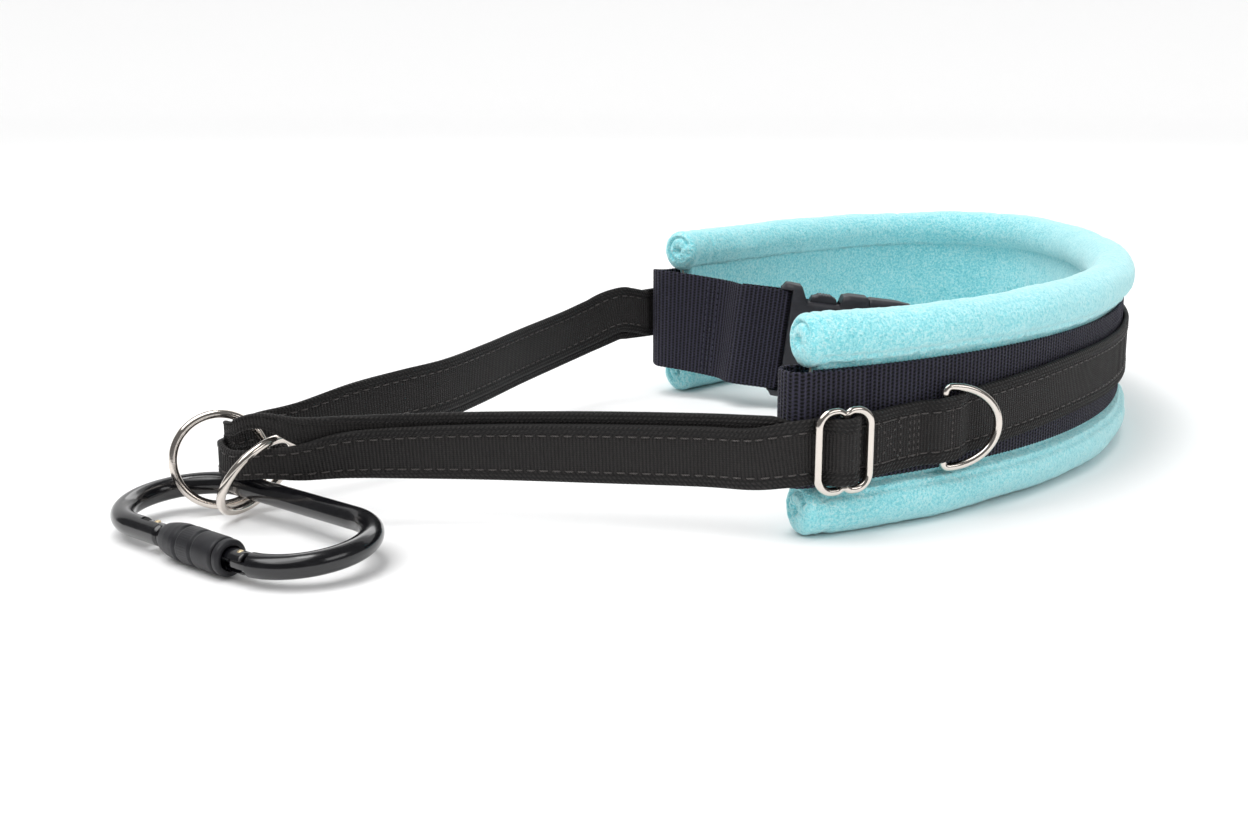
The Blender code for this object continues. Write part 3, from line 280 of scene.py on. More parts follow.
def arc(centre, radius, start, end, count):
    """Points of a plane arc; angles in degrees."""
    angles = np.radians(np.linspace(start, end, count))
    return np.column_stack((centre[0] + radius * np.cos(angles), centre[1] + radius * np.sin(angles)))


def ease(t):
    t = np.clip(t, 0.0, 1.0)
    return t * t * (3.0 - 2.0 * t)


def bezier(span, count):
    t = np.linspace(0.0, 1.0, count)[:, None]
    p = np.array(span)
    u = 1.0 - t
    return p[0] * u ** 3 + 3 * p[1] * u * u * t + 3 * p[2] * u * t * t + p[3] * t ** 3


BELT = resample(np.vstack((bezier(NEAR_SPAN, 800), bezier(FAR_SPAN, 800)[1:])), 0.0005)
BELT_RUN = run_of(BELT)
BELT_TANGENT = unit(np.gradient(BELT, axis=0))
PAD_LENGTH = BELT_RUN[-1]


def on_belt(along, offset, height):
    """Points beside the pad's middle line; beyond an end the path runs on straight."""
    along = np.atleast_1d(np.asarray(along, float))
    inside = np.clip(along, 0.0, PAD_LENGTH)
    base = np.column_stack([np.interp(inside, BELT_RUN, column) for column in BELT.T])
    tangent = unit(np.column_stack([np.interp(inside, BELT_RUN, c) for c in BELT_TANGENT.T]))
    outward = np.column_stack((tangent[:, 1], -tangent[:, 0]))
    offset = np.broadcast_to(offset, along.shape)[:, None]
    plan = base + tangent * (along - inside)[:, None] + outward * offset
    return np.column_stack((plan, np.broadcast_to(height, along.shape)))


def belt_axes(along):
    """Unit tangent and outward normal of the belt, as vectors."""
    inside = min(max(along, 0.0), PAD_LENGTH)
    x, y = (np.interp(inside, BELT_RUN, c) for c in BELT_TANGENT.T)
    tangent = unit(np.array((x, y, 0.0)))
    return tangent, np.array((tangent[1], -tangent[0], 0.0))


class Place:
    """A local frame: origin, X axis and roughly the Y axis."""

    def __init__(self, origin, x_axis, y_axis):
        self.origin = np.array(origin, float)
        x = unit(np.array(x_axis, float))
        z = unit(np.cross(x, np.array(y_axis, float)))
        self.axes = np.array((x, np.cross(z, x), z))

    def __call__(self, points):
        return self.origin + np.asarray(points, float) @ self.axes


def centre_of(node):
    low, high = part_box(node)
    return (np.array(low) + np.array(high)) / 2


SHIFT = (centre_of("left_o_ring") - LEFT_RING_CENTRE + centre_of("right_o_ring") - RIGHT_RING_CENTRE) / 2
SHIFT[2] = 0.0


# ---------------- meshes
class Shape:
    """Collects closed tubes of rings and turns them into one mesh object."""

    def __init__(self):
        self.points = []
        self.faces = []
        self.uvs = []
        self.count = 0

    def add(self, rings, wrap=False, uv=None):
        rows, columns = rings.shape[:2]
        i = np.arange(rows if wrap else rows - 1)[:, None]
        j = np.arange(columns)[None, :]
        after = (i + 1) % rows
        beside = (j + 1) % columns
        quads = np.stack((i * columns + j, i * columns + beside,
                          after * columns + beside, after * columns + j), -1)
        self.faces += (quads.reshape(-1, 4) + self.count).tolist()
        if not wrap:
            self.faces.append([self.count + k for k in reversed(range(columns))])
            self.faces.append([self.count + (rows - 1) * columns + k for k in range(columns)])
        self.points.append(rings.reshape(-1, 3))
        self.uvs.append(np.zeros((rows * columns, 2)) if uv is None else uv.reshape(-1, 2))
        self.count += rows * columns
        return self

    def build(self, name, finish, sharp_angle=40.0):
        mesh = bpy.data.meshes.new(name)
        mesh.from_pydata(np.vstack(self.points) + SHIFT, [], self.faces)
        corner = np.empty(len(mesh.loops), int)
        mesh.loops.foreach_get("vertex_index", corner)
        layer = mesh.uv_layers.new(name="weave")
        layer.data.foreach_set("uv", np.vstack(self.uvs)[corner].astype(np.float32).ravel())
        outside_out(mesh)
        mesh.shade_smooth()
        mesh.set_sharp_from_angle(angle=math.radians(sharp_angle))
        mesh.materials.append(finish)
        made = bpy.data.objects.new(name, mesh)
        bpy.context.scene.collection.objects.link(made)
        return made


def outside_out(mesh):
    bm = bmesh.new()
    bm.from_mesh(mesh)
    bmesh.ops.recalc_face_normals(bm, faces=bm.faces)
    bm.to_mesh(mesh)
    bm.free()


def belongs(made, body, slot, *nodes):
    """The piece rides on a body and stands for CAD nodes, which are hidden; slot is not used."""
    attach(made, body)
    if nodes:
        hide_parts(*nodes)


def evaluated_mesh(made):
    graph = bpy.context.evaluated_depsgraph_get()
    graph.update()
    return bpy.data.meshes.new_from_object(made.evaluated_get(graph))


def apply_modifiers(made):
    mesh = evaluated_mesh(made)
    made.modifiers.clear()
    made.data = mesh


def vertex_values(mesh, kind="co"):
    found = np.empty(len(mesh.vertices) * 3)
    mesh.vertices.foreach_get(kind, found)
    return found.reshape(-1, 3)


def set_coordinates(mesh, points):
    mesh.vertices.foreach_set("co", points.astype(np.float32).ravel())
    mesh.update()


def upright(outline):
    """Points of an (x, z) outline in the local XZ plane."""
    return np.column_stack((outline[:, 0], np.zeros(len(outline)), outline[:, 1]))


def sweep(centres, up, radius, sides=24, closed=True):
    """Rings of a round wire along a plane curve; up is the plane's normal."""
    if closed:
        tangent = unit(np.roll(centres, -1, axis=0) - np.roll(centres, 1, axis=0))
    else:
        tangent = unit(np.gradient(centres, axis=0))
    side = unit(np.cross(tangent, up))
    angle = np.linspace(0.0, TAU, sides, endpoint=False)
    radius = np.broadcast_to(radius, len(centres))[:, None, None]
    turn = np.cos(angle)[None, :, None] * side[:, None] + np.sin(angle)[None, :, None] * np.array(up)
    return centres[:, None] + radius * turn


def closed_loop(points, step):
    """Evenly spaced points of a closed outline."""
    return resample(np.vstack((points, points[:1])), step)[:-1]


def turned(profile, sides, ripple=None):
    """Rings about the local X axis; profile is (x, radius), from one end round to the other."""
    profile = np.asarray(profile, float)
    angle = np.linspace(0.0, TAU, sides, endpoint=False)
    radius = profile[:, 1:] * np.ones(sides)
    if ripple is not None:
        radius = radius + ripple(profile[:, :1], angle[None, :])
    x = np.broadcast_to(profile[:, :1], radius.shape)
    return np.stack((x, radius * np.cos(angle), radius * np.sin(angle)), -1)


def box_cutter(place, low, high):
    (x_low, y_low, z_low), (x_high, y_high, z_high) = low, high
    rings = np.array([[(x, y_low, z_low), (x, y_high, z_low), (x, y_high, z_high), (x, y_low, z_high)]
                      for x in (x_low, x_high)])
    return Shape().add(place(rings)).build("cutter", None)


def cut(made, cutters):
    for cutter in cutters:
        change = made.modifiers.new("cut", "BOOLEAN")
        change.operation = "DIFFERENCE"
        change.solver = "EXACT"
        change.object = cutter
    apply_modifiers(made)
    for cutter in cutters:
        bpy.data.objects.remove(cutter, do_unlink=True)
    made.data.shade_smooth()
    made.data.set_sharp_from_angle(angle=math.radians(40.0))


# ---------------- materials
class Value:
    """A shader output that adds and multiplies, so that a material reads as a formula."""

    def __init__(self, tree, socket):
        self.tree = tree
        self.socket = socket

    def calc(self, operation, other=0.0, first=None):
        start = self if first is None else first
        return add_node(self.tree, "Math", {"operation": operation}, i0=start, i1=other)

    def __add__(self, other):
        return self.calc("ADD", other)

    def __sub__(self, other):
        return self.calc("SUBTRACT", other)

    def __rsub__(self, number):
        return self.calc("SUBTRACT", self, number)

    def __mul__(self, other):
        return self.calc("MULTIPLY", other)

    def __pow__(self, other):
        return self.calc("POWER", other)

    def __abs__(self):
        return self.calc("ABSOLUTE")

    def wave(self, pitch, phase=0.0):
        """Cosine of the given pitch, from 0 to 1."""
        turn = add_node(self.tree, "Math", {"operation": "MULTIPLY_ADD"}, i0=self, i1=TAU / pitch, i2=phase)
        return (turn.calc("COSINE") + 1.0) * 0.5

    def parts(self):
        split = add_node(self.tree, "SeparateXYZ", Vector=self).socket.node
        return [Value(self.tree, output) for output in split.outputs]


def feed(tree, socket, value):
    """Links a shader value to an input, or sets it to a plain one."""
    if isinstance(value, Value):
        tree.links.new(value.socket, socket)
    else:
        socket.default_value = value


def add_node(tree, kind, settings=None, **values):
    """Adds a shader node; values are its inputs by name, with _ for a space, or i0, i1 by number."""
    made = tree.nodes.new("ShaderNode" + kind)
    for key, value in (settings or {}).items():
        setattr(made, key, value)
    for key, value in values.items():
        numbered = key[0] == "i" and key[1:].isdigit()
        feed(tree, made.inputs[int(key[1:]) if numbered else key.replace("_", " ")], value)
    return Value(tree, made.outputs[0])


class Finish:
    """A procedural material under construction."""

    def __init__(self, name):
        self.material = bpy.data.materials.new(name)
        self.material.use_nodes = True
        self.tree = self.material.node_tree
        place = self.tree.nodes.new("ShaderNodeTexCoord")
        self.where = Value(self.tree, place.outputs["Object"])
        self.weave = Value(self.tree, place.outputs["UV"])

    def grain(self, size, detail=2.0, stretch=None):
        """Noise whose lumps are about this size in metres."""
        where = self.where
        if stretch is not None:
            where = add_node(self.tree, "Mapping", Vector=where, Scale=stretch)
        return add_node(self.tree, "TexNoise", Vector=where, Scale=1.0 / size, Detail=detail, Roughness=0.6)

    def mix(self, share, first, second):
        return add_node(self.tree, "MixRGB", Fac=share, Color1=first, Color2=second)

    def done(self, height, distance, strength, **inputs):
        """Sets the surface, with bumps of this height and distance."""
        shader = self.tree.nodes["Principled BSDF"]
        inputs["Normal"] = add_node(self.tree, "Bump", Height=height, Distance=distance, Strength=strength)
        for key, value in inputs.items():
            feed(self.tree, shader.inputs[key.replace("_", " ")], value)
        return self.material


def rgb(red, green, blue):
    """Linear colour from display values 0-255."""
    return tuple(((v / 255.0 + 0.055) / 1.055) ** 2.4 if v > 10 else v / 255.0 / 12.92
                 for v in (red, green, blue)) + (1.0,)


def fleece_material():
    """Brushed turquoise pile with soft clumps: painted highlight on the tips, painted shade in the hollows
    and a paler painted sheen at grazing angles.
    """
    finish = Finish("fleece_pile")
    height = finish.grain(0.0011) * 0.62 + finish.grain(0.00045, 1.0) * 0.38
    # Painted highlight and shade: the colour follows the pile's bump height, pale on the tips and deep
    # turquoise in the hollows; the wider clumps add random tone.
    depth = height * 0.86 + finish.grain(0.0075, 3.0) * 0.14
    ramp = add_node(finish.tree, "ValToRGB", Fac=depth)
    stops = ramp.socket.node.color_ramp.elements
    stops[0].position, stops[0].color = 0.30, rgb(80, 187, 201)
    stops[1].position, stops[1].color = 0.66, rgb(206, 243, 244)
    middle = stops.new(0.49)
    middle.color = rgb(146, 223, 230)
    # Painted sheen: the pile's colour is lightened towards grazing angles, where the surface turns away from
    # the view.
    layer = add_node(finish.tree, "LayerWeight", Blend=0.30).socket.node
    edge = Value(finish.tree, layer.outputs["Facing"]) ** 1.6 * 0.75
    colour = finish.mix(edge, ramp, rgb(216, 244, 245))
    return finish.done(height, 0.0010, 1.0, Base_Color=colour, Roughness=0.97, Sheen_Weight=0.55,
                       Sheen_Roughness=0.5, Sheen_Tint=rgb(215, 245, 246), Specular_IOR_Level=0.1)


def navy_material():
    """Ribs across the strap with a row of pin-holes between them; painted highlight on the ribs' crests and
    painted shade in the holes.
    """
    finish = Finish("navy_weave")
    u, v, _ = finish.weave.parts()
    rib = u.wave(NAVY_PITCH)
    dot = (v + u.wave(NAVY_PITCH * 2.0, math.pi / 2) * (NAVY_DOT / 2)).wave(NAVY_DOT)
    yarn = (v + u * 0.5).wave(NAVY_DOT / 2)
    hole = ((1.0 - rib) * dot * 1.8).calc("MINIMUM", 1.0)
    height = rib * 0.55 + yarn * 0.25 - hole * 0.9
    # Painted highlight: the ribs' crests are coloured lighter, with a fine random grain.
    light = (rib + finish.grain(0.0005)) * 0.55
    cloth = finish.mix(light, rgb(22, 21, 32), rgb(60, 58, 76))
    worn = finish.mix(finish.grain(0.02, 3.0) * 0.3, cloth, rgb(34, 34, 50))
    # Painted shade: the pin-holes between the ribs are coloured near black.
    colour = finish.mix(hole, worn, rgb(3, 3, 6))
    return finish.done(height, 0.0005, 0.9, Base_Color=colour, Roughness=0.72, Sheen_Weight=0.05,
                       Sheen_Roughness=0.4, Specular_IOR_Level=0.25)


def black_web_material():
    """Fine ribs across the strap, with yarns along them, and a coarser twill in the two hems; painted
    highlight on the raised yarns and painted shade between them.
    """
    finish = Finish("black_weave")
    u, v, _ = finish.weave.parts()
    hem = abs(v).calc("GREATER_THAN", HEM_FROM)
    twill = (u + abs(v) * TWILL_SLANT).wave(TWILL_PITCH) * v.wave(0.0014)
    plain = u.wave(RIB_PITCH) * 0.6 + v.wave(0.0008) * 0.25
    woven = add_node(finish.tree, "Mix", {"data_type": "FLOAT"}, i0=hem, i2=plain, i3=twill)
    height = woven + finish.grain(0.0004) * 0.35
    # Painted highlight and shade: the colour follows the weave's height, lighter where it stands proud and
    # darker in its hollows.
    colour = finish.mix(height * 0.75, rgb(7, 7, 8), rgb(54, 51, 50))
    dusty = finish.mix(finish.grain(0.018, 3.0) * 0.35, colour, rgb(30, 28, 28))
    return finish.done(height, 0.0005, 1.0, Base_Color=dusty, Roughness=0.66, Sheen_Weight=0.04,
                       Sheen_Roughness=0.4, Specular_IOR_Level=0.3)


def thread_material(name, dark, light):
    """Twisted bonded thread, with a painted highlight on the ridges of the twist."""
    finish = Finish(name)
    x, y, z = finish.where.parts()
    twist = (x + y + z).wave(0.0006)
    # Painted highlight: the colour runs from dark to light with the twist's bump, lighter on its ridges.
    return finish.done(twist, 0.0001, 0.6, Base_Color=finish.mix(twist, dark, light), Roughness=0.42,
                       Specular_IOR_Level=0.5)


def metal_material(name, colour, roughness):
    """Bright metal with fine scratches and a slightly uneven polish."""
    finish = Finish(name)
    cloud = finish.grain(0.006, 3.0)
    lines = finish.grain(0.0009, 2.0, (0.12, 1.0, 1.0))
    dull = [c * 0.72 for c in colour[:3]] + [1.0]
    return finish.done(lines, 0.00004, 0.25, Base_Color=finish.mix(cloud * 0.45, colour, dull),
                       Metallic=1.0, Roughness=cloud * 0.10 + roughness)


def hard_black_material(name, colour, roughness, texture, distance, coat=0.0):
    """Black moulding or anodised metal: fine grain, scuffs and rubbed patches."""
    finish = Finish(name)
    scuff = finish.grain(0.0022, 3.0, (0.2, 1.0, 0.6))
    lifted = [min(1.0, c * 2.6 + 0.012) for c in colour[:3]] + [1.0]
    return finish.done(finish.grain(texture), distance, 0.5,
                       Base_Color=finish.mix(scuff ** 4.0 * 1.6, colour, lifted),
                       Roughness=finish.grain(0.012) * 0.14 + roughness, Coat_Weight=coat,
                       Coat_Roughness=0.07)


def foam_material():
    """Open-cell foam, with painted shade in its pores."""
    finish = Finish("open_cell_foam")
    cells = add_node(finish.tree, "TexVoronoi", Vector=finish.where, Scale=900.0)
    # Painted shade: each cell is coloured darker towards its middle, where its bump is lowest.
    colour = finish.mix(cells, rgb(176, 172, 156), rgb(238, 234, 220))
    return finish.done(cells, 0.0005, 0.8, Base_Color=colour, Roughness=0.95)


FLEECE = fleece_material()
NAVY = navy_material()
BLACK_WEB = black_web_material()
# The second colour of each thread is its painted highlight.
BLACK_THREAD = thread_material("black_thread", rgb(26, 24, 25), rgb(92, 87, 85))
NAVY_THREAD = thread_material("navy_thread", rgb(18, 18, 28), rgb(58, 58, 78))
NICKEL = metal_material("polished_nickel", rgb(226, 218, 210), 0.10)
PIN = metal_material("pin_metal_finish", rgb(214, 196, 160), 0.28)
SPRING = metal_material("spring_wire_finish", rgb(170, 172, 176), 0.25)
GLOSS = hard_black_material("gloss_black_finish", rgb(5, 5, 9), 0.14, 0.0006, 0.000015, 0.45)
SATIN = hard_black_material("satin_black_finish", rgb(20, 20, 25), 0.42, 0.0003, 0.00006)
ACETAL = hard_black_material("moulded_acetal", rgb(30, 30, 36), 0.46, 0.00028, 0.00008)
FOAM = foam_material()


# ---------------- fleece
def fleece_section():
    """Dumb-bell outline (offset, height): a roll at each edge and a flat panel between."""
    radius = ROLL_RADIUS - SWELL_ROOM
    half = PANEL_HALF - SWELL_ROOM
    join = math.degrees(math.acos(half / radius))
    lower = np.vstack((arc((0.0, ROLL_HEIGHT), radius, join, -72.0, 14),
                       arc((0.0, ROLL_HEIGHT), radius, -108.0, -180.0 - join, 14)))
    upper = np.column_stack((-lower[:, 0], PAD_HEIGHT - lower[:, 1]))
    return closed_loop(np.vstack((lower, upper)), 0.0015)


def unrolled(points):
    """Along, offset from the middle line and height of each point."""
    tree = kdtree.KDTree(len(BELT))
    for index, (x, y) in enumerate(BELT):
        tree.insert((x, y, 0.0), index)
    tree.balance()
    nearest = np.array([tree.find((x, y, 0.0))[1] for x, y, _ in points])
    away = points[:, :2] - BELT[nearest]
    tangent = BELT_TANGENT[nearest]
    offset = away[:, 0] * tangent[:, 1] - away[:, 1] * tangent[:, 0]
    along = BELT_RUN[nearest] + (away * tangent).sum(axis=1)
    return along, offset, points[:, 2]


def inflate(made):
    """Swells the closed fabric by cloth simulation; no point ends further than SWELL_CAP from its start."""
    start = vertex_values(made.data)
    cloth = made.modifiers.new("swell", "CLOTH")
    cloth.settings.quality = 5
    cloth.settings.mass = 0.3
    cloth.settings.use_pressure = True
    cloth.settings.uniform_pressure_force = PRESSURE
    cloth.settings.effector_weights.gravity = 0.0
    scene = bpy.context.scene
    scene.frame_start = 1
    scene.frame_end = SWELL_FRAMES
    for step in range(1, SWELL_FRAMES + 1):
        scene.frame_set(step)
    swollen = evaluated_mesh(made)
    moved = vertex_values(swollen) - start
    made.modifiers.clear()
    bpy.data.meshes.remove(swollen)
    scene.frame_set(1)
    reach = np.linalg.norm(moved, axis=1, keepdims=True)
    set_coordinates(made.data, start + moved * np.minimum(1.0, SWELL_CAP / np.maximum(reach, 1e-9)))


def nap(points, size):
    """Seeded noise from -1 to 1 at each point, with lumps of this size."""
    return np.array([noise.noise(Vector(point / size)) for point in points])


def brush(mesh, amount):
    """Raises the pile: small tufts on soft, wider clumps."""
    points = vertex_values(mesh)
    tufts = sum(share * nap(points + index, size) for index, (share, size) in enumerate(PILE_SIZES))
    set_coordinates(mesh, points + vertex_values(mesh, "normal") * (tufts * amount)[:, None])


def make_fleece_pad():
    section = fleece_section()
    alongs = np.linspace(0.0, PAD_LENGTH, 300)
    rings = np.stack([on_belt(alongs, offset, height) for offset, height in section], axis=1)
    made = Shape().add(rings).build("fleece_pad", FLEECE)
    remesh = made.modifiers.new("even mesh", "REMESH")
    remesh.mode = "VOXEL"
    remesh.voxel_size = VOXEL
    apply_modifiers(made)
    inflate(made)
    rounded = made.modifiers.new("smooth", "SUBSURF")
    rounded.levels = 2
    rounded.render_levels = 2
    apply_modifiers(made)
    fit_pad(made.data)
    brush(made.data, PAD_TUFTS)
    made.data.shade_smooth()
    made.data.materials.clear()
    made.data.materials.append(FLEECE)
    belongs(made, "belt", "fleece", "fleece_sleeve")


def fit_pad(mesh):
    """Brings the swollen pad back to its section, with soft waves, and presses in its seams."""
    points = vertex_values(mesh) - SHIFT
    along, offset, height = unrolled(points)
    upper = height > MID_HEIGHT
    folded = np.where(upper, PAD_HEIGHT - height, height)
    down = folded - ROLL_HEIGHT
    reach = np.hypot(offset, down)
    in_roll = (down < ROLL_REACH) & (reach > 1e-5)
    soft = 0.00035 * np.sin(along / 0.021 + 2.0 * upper) + 0.00025 * np.sin(along / 0.0083 + folded / 0.004)
    angle = np.degrees(np.arctan2(down, np.abs(offset)))
    crease = SEAM_DEPTH * np.exp(-((angle - SEAM_ANGLE) / 6.0) ** 2) * (offset > 0.0)
    for place in [PAD_LENGTH - back for back in CROSS_SEAMS_FROM_FAR_END] + [CROSS_SEAM_NEAR_END]:
        crease = crease + CROSS_SEAM_DEPTH * np.exp(-((along - place) / CROSS_SEAM_WIDTH) ** 2)
    wanted = ROLL_RADIUS - 0.0001 + soft - crease
    scale = np.where(in_roll, wanted / np.maximum(reach, 1e-5), 1.0)
    share = ease((ROLL_REACH - down) / ROLL_FADE) * 0.8
    scale = 1.0 + (scale - 1.0) * share
    new_offset = offset * scale
    new_down = np.where(in_roll, down * scale, down)
    in_panel = down > 0.0075
    limit = np.where(offset > 0.0, PANEL_HALF - 0.0001, PANEL_HALF + 0.0006 + soft)
    new_offset = np.where(in_panel, np.clip(new_offset, -limit, limit), new_offset)
    new_height = np.maximum(new_down + ROLL_HEIGHT, 0.0)
    final_height = np.where(upper, PAD_HEIGHT - new_height, new_height)
    set_coordinates(mesh, on_belt(along, new_offset, final_height) + SHIFT)


def make_end_cap(name, along, direction, height, node_name):
    """Fleece disc gathered to a dimple, with a curved seam and soft pleats."""
    tangent, _ = belt_axes(along)
    place = Place(on_belt(along, 0.0, height)[0], tangent * direction, (0.0, 0.0, 1.0))
    rim = ROLL_RADIUS - 0.0003
    turn = np.linspace(0.0, math.pi / 2, 9)
    profile = [(-CAP_TUCK, 0.0006), (-CAP_TUCK, rim * 0.90), (-0.0012, rim * 0.985), (0.0, rim)]
    profile += [(CAP_TALL * math.sin(a) ** 0.9, rim * (0.30 + 0.70 * math.cos(a) ** 0.8)) for a in turn[1:]]
    profile += [(CAP_TALL - 0.0005, rim * 0.22), (CAP_TALL - 0.0016, rim * 0.12), (CAP_TALL - 0.0022, 0.0002)]
    rings = turned(resample(np.array(profile), 0.0005), 96)
    spot = np.arctan2(rings[..., 2], rings[..., 1])
    radius = np.hypot(rings[..., 1], rings[..., 2]) / rim
    seam_radius = 0.60 + 0.10 * np.cos(spot + 0.6)
    seam = np.exp(-((radius - seam_radius) / 0.07) ** 2) * (np.cos(spot - 0.8) > -0.3)
    pleat = 0.00018 * np.cos(9.0 * spot) * np.clip(1.0 - radius, 0.0, 1.0)
    rings[..., 0] += np.where(rings[..., 0] > 0.0005, pleat - 0.0017 * seam, 0.0)
    placed = place(rings)
    placed[..., 2] = np.maximum(placed[..., 2], 0.0)
    made = Shape().add(placed).build(name, FLEECE, 80.0)
    brush(made.data, CAP_TUFTS)
    belongs(made, "belt", "fleece", node_name)


# ---------------- webbing and thread
class Strap:
    """Webbing: middle line, unit vectors across it, half widths and thickness, at an even step."""

    def __init__(self, middle, across, half, thickness):
        self.middle = middle
        self.across = np.broadcast_to(across, middle.shape)
        self.half = np.broadcast_to(half, len(middle))
        self.thickness = thickness
        self.run = run_of(middle)
        self.tangent = unit(np.gradient(middle, axis=0))
        self.normal = unit(np.cross(self.tangent, self.across))

    def rings(self, relief, front, back):
        """Closed cross-sections with round selvedges; relief(run, width, half) stands proud."""
        edge = [(1.0, math.sin(a), math.cos(a)) for a in np.radians((0.0, 30.0, 60.0, 90.0))]
        top = [(s, 0.0, 1.0) for s in np.linspace(-1.0, 1.0, front)]
        low = [(s, 0.0, -1.0) for s in np.linspace(1.0, -1.0, back)]
        section = [(-s, -e, h) for s, e, h in edge[:0:-1]] + top + edge[1:]
        section += [(s, e, -h) for s, e, h in edge[2:0:-1]] + low + [(-s, -e, -h) for s, e, h in edge[1:3]]
        side, out, level = np.array(section).T
        radius = self.thickness / 2
        width = side * (self.half[:, None] - radius) + out * radius
        run = np.broadcast_to(self.run[:, None], width.shape)
        proud = level * (radius + relief(run, width, self.half[:, None]))
        points = self.middle[:, None] + self.across[:, None] * width[..., None]
        points = points + self.normal[:, None] * proud[..., None]
        return points, np.stack((run, width), -1)

    def build(self, name, finish, relief, front, back):
        points, uv = self.rings(relief, front, back)
        return Shape().add(points, False, uv).build(name, finish, 60.0)

    def sewn(self, name, stitches, finish, face=1.0, length=STITCH_LENGTH, radius=THREAD_RADIUS):
        """One mesh of thread stitches; stitches are (run, width, direction in degrees)."""
        run, width, heading = np.array(stitches, float).T
        heading = np.radians(heading)
        middle, across, normal, tangent = (
            np.column_stack([np.interp(run, self.run, column) for column in field.T])
            for field in (self.middle, self.across, self.normal, self.tangent))
        forward = unit(tangent * np.cos(heading)[:, None] + across * np.sin(heading)[:, None])
        normal = unit(normal) * face
        beside = np.cross(normal, forward)
        centre = middle + across * width[:, None] + normal * (self.thickness / 2 + 0.00010)
        t = np.array((-1.0, -0.85, -0.4, 0.4, 0.85, 1.0))
        thick = radius * np.array((0.35, 0.85, 1.0, 1.0, 0.85, 0.35))
        angle = np.linspace(0.0, TAU, 6, endpoint=False)
        sunk = -0.00035 * t ** 4
        shape = Shape()
        for k in range(len(run)):
            line = centre[k] + forward[k] * (t * length / 2)[:, None] + normal[k] * sunk[:, None]
            ring = np.cos(angle)[None, :, None] * beside[k] + np.sin(angle)[None, :, None] * normal[k]
            shape.add(line[:, None] + thick[:, None, None] * ring)
        return shape.build(name, finish, 80.0)


def navy_relief(run, width, half):
    return 0.00007 * np.cos(TAU * run / NAVY_PITCH) + 0.00004 * np.cos(TAU * width / NAVY_DOT)


def rib_relief(run, width, half):
    """Fine ribs across, thicker hems along both edges with a groove where they are sewn."""
    from_edge = half - np.abs(width)
    hem = ease((HEM_WIDTH - from_edge) / 0.0008)
    groove = np.exp(-((from_edge - HEM_WIDTH) / 0.0005) ** 2)
    plain = 0.00008 * np.cos(TAU * run / RIB_PITCH)
    twill = 0.00009 * np.cos(TAU * (run + TWILL_SLANT * np.abs(width)) / TWILL_PITCH)
    return plain * (1.0 - hem) + (twill + 0.00022) * hem - 0.00026 * groove


def row(start, end, width):
    """A row of stitches along the strap."""
    return [(run, width, 0.0) for run in np.arange(start, end, STITCH_PITCH)]


def bar(run, half, count):
    """A row of stitches straight across the strap."""
    return [(run, width, 90.0) for width in np.linspace(-half, half, count)]


def box_x(start, end, half):
    """Sewn rectangle with its two diagonals."""
    places = [(r, w, 0.0) for w in (-half, half) for r in np.linspace(start, end, 5)]
    places += [(r, w, 90.0) for r in (start, end) for w in np.linspace(-half, half, 6)]
    slope = math.degrees(math.atan2(2 * half, end - start))
    for sign in (1.0, -1.0):
        places += [(start + (end - start) * t, sign * half * (2 * t - 1), sign * slope)
                   for t in np.linspace(0.08, 0.92, 6)]
    return places


def make_navy_band():
    alongs = np.arange(0.0, PAD_LENGTH, NAVY_PITCH / 3)
    wavy = BAND_HALF - 0.0001 + 0.00014 * np.cos(TAU * alongs / NAVY_PITCH)
    strap = Strap(on_belt(alongs, BAND_OFFSET, MID_HEIGHT), (0.0, 0.0, 1.0), wavy, NAVY_LOOK)
    made = strap.build("navy_band", NAVY, navy_relief, 62, 8)
    belongs(made, "belt", "navy_webbing", "navy_belt_webbing")


def side_height(along):
    sag = 1.0 - ease(along / SIDE_SAG_LENGTH)
    return MID_HEIGHT - (MID_HEIGHT - SIDE_NEAR_HEIGHT) * sag


def side_offset(along):
    """Over the band, the closing straps' ends and the D-rings' bars, and woven through the slides."""
    from_end = np.minimum(along, PAD_LENGTH - along)
    climb = ease((from_end - CLOSING_OVERLAP - 0.002) / 0.010)
    offset = SIDE_END_OFFSET + (SIDE_OFFSET - SIDE_END_OFFSET) * climb
    away = np.maximum(np.abs(from_end - D_RING_AT) - 0.0030, 0.0)
    offset = offset + (D_TUNNEL_OFFSET - SIDE_OFFSET) * ease(1.0 - away / D_TUNNEL_HALF)
    middle = np.where(along < PAD_LENGTH / 2, NEAR_SLIDE_AT, PAD_LENGTH - FAR_SLIDE_AT)
    weave = (WEAVE_LOW_FROM - np.abs(along - middle)) / (WEAVE_LOW_FROM - WEAVE_HIGH_TO)
    return offset + 2.0 * SLIDE_WEAVE * ease(weave)


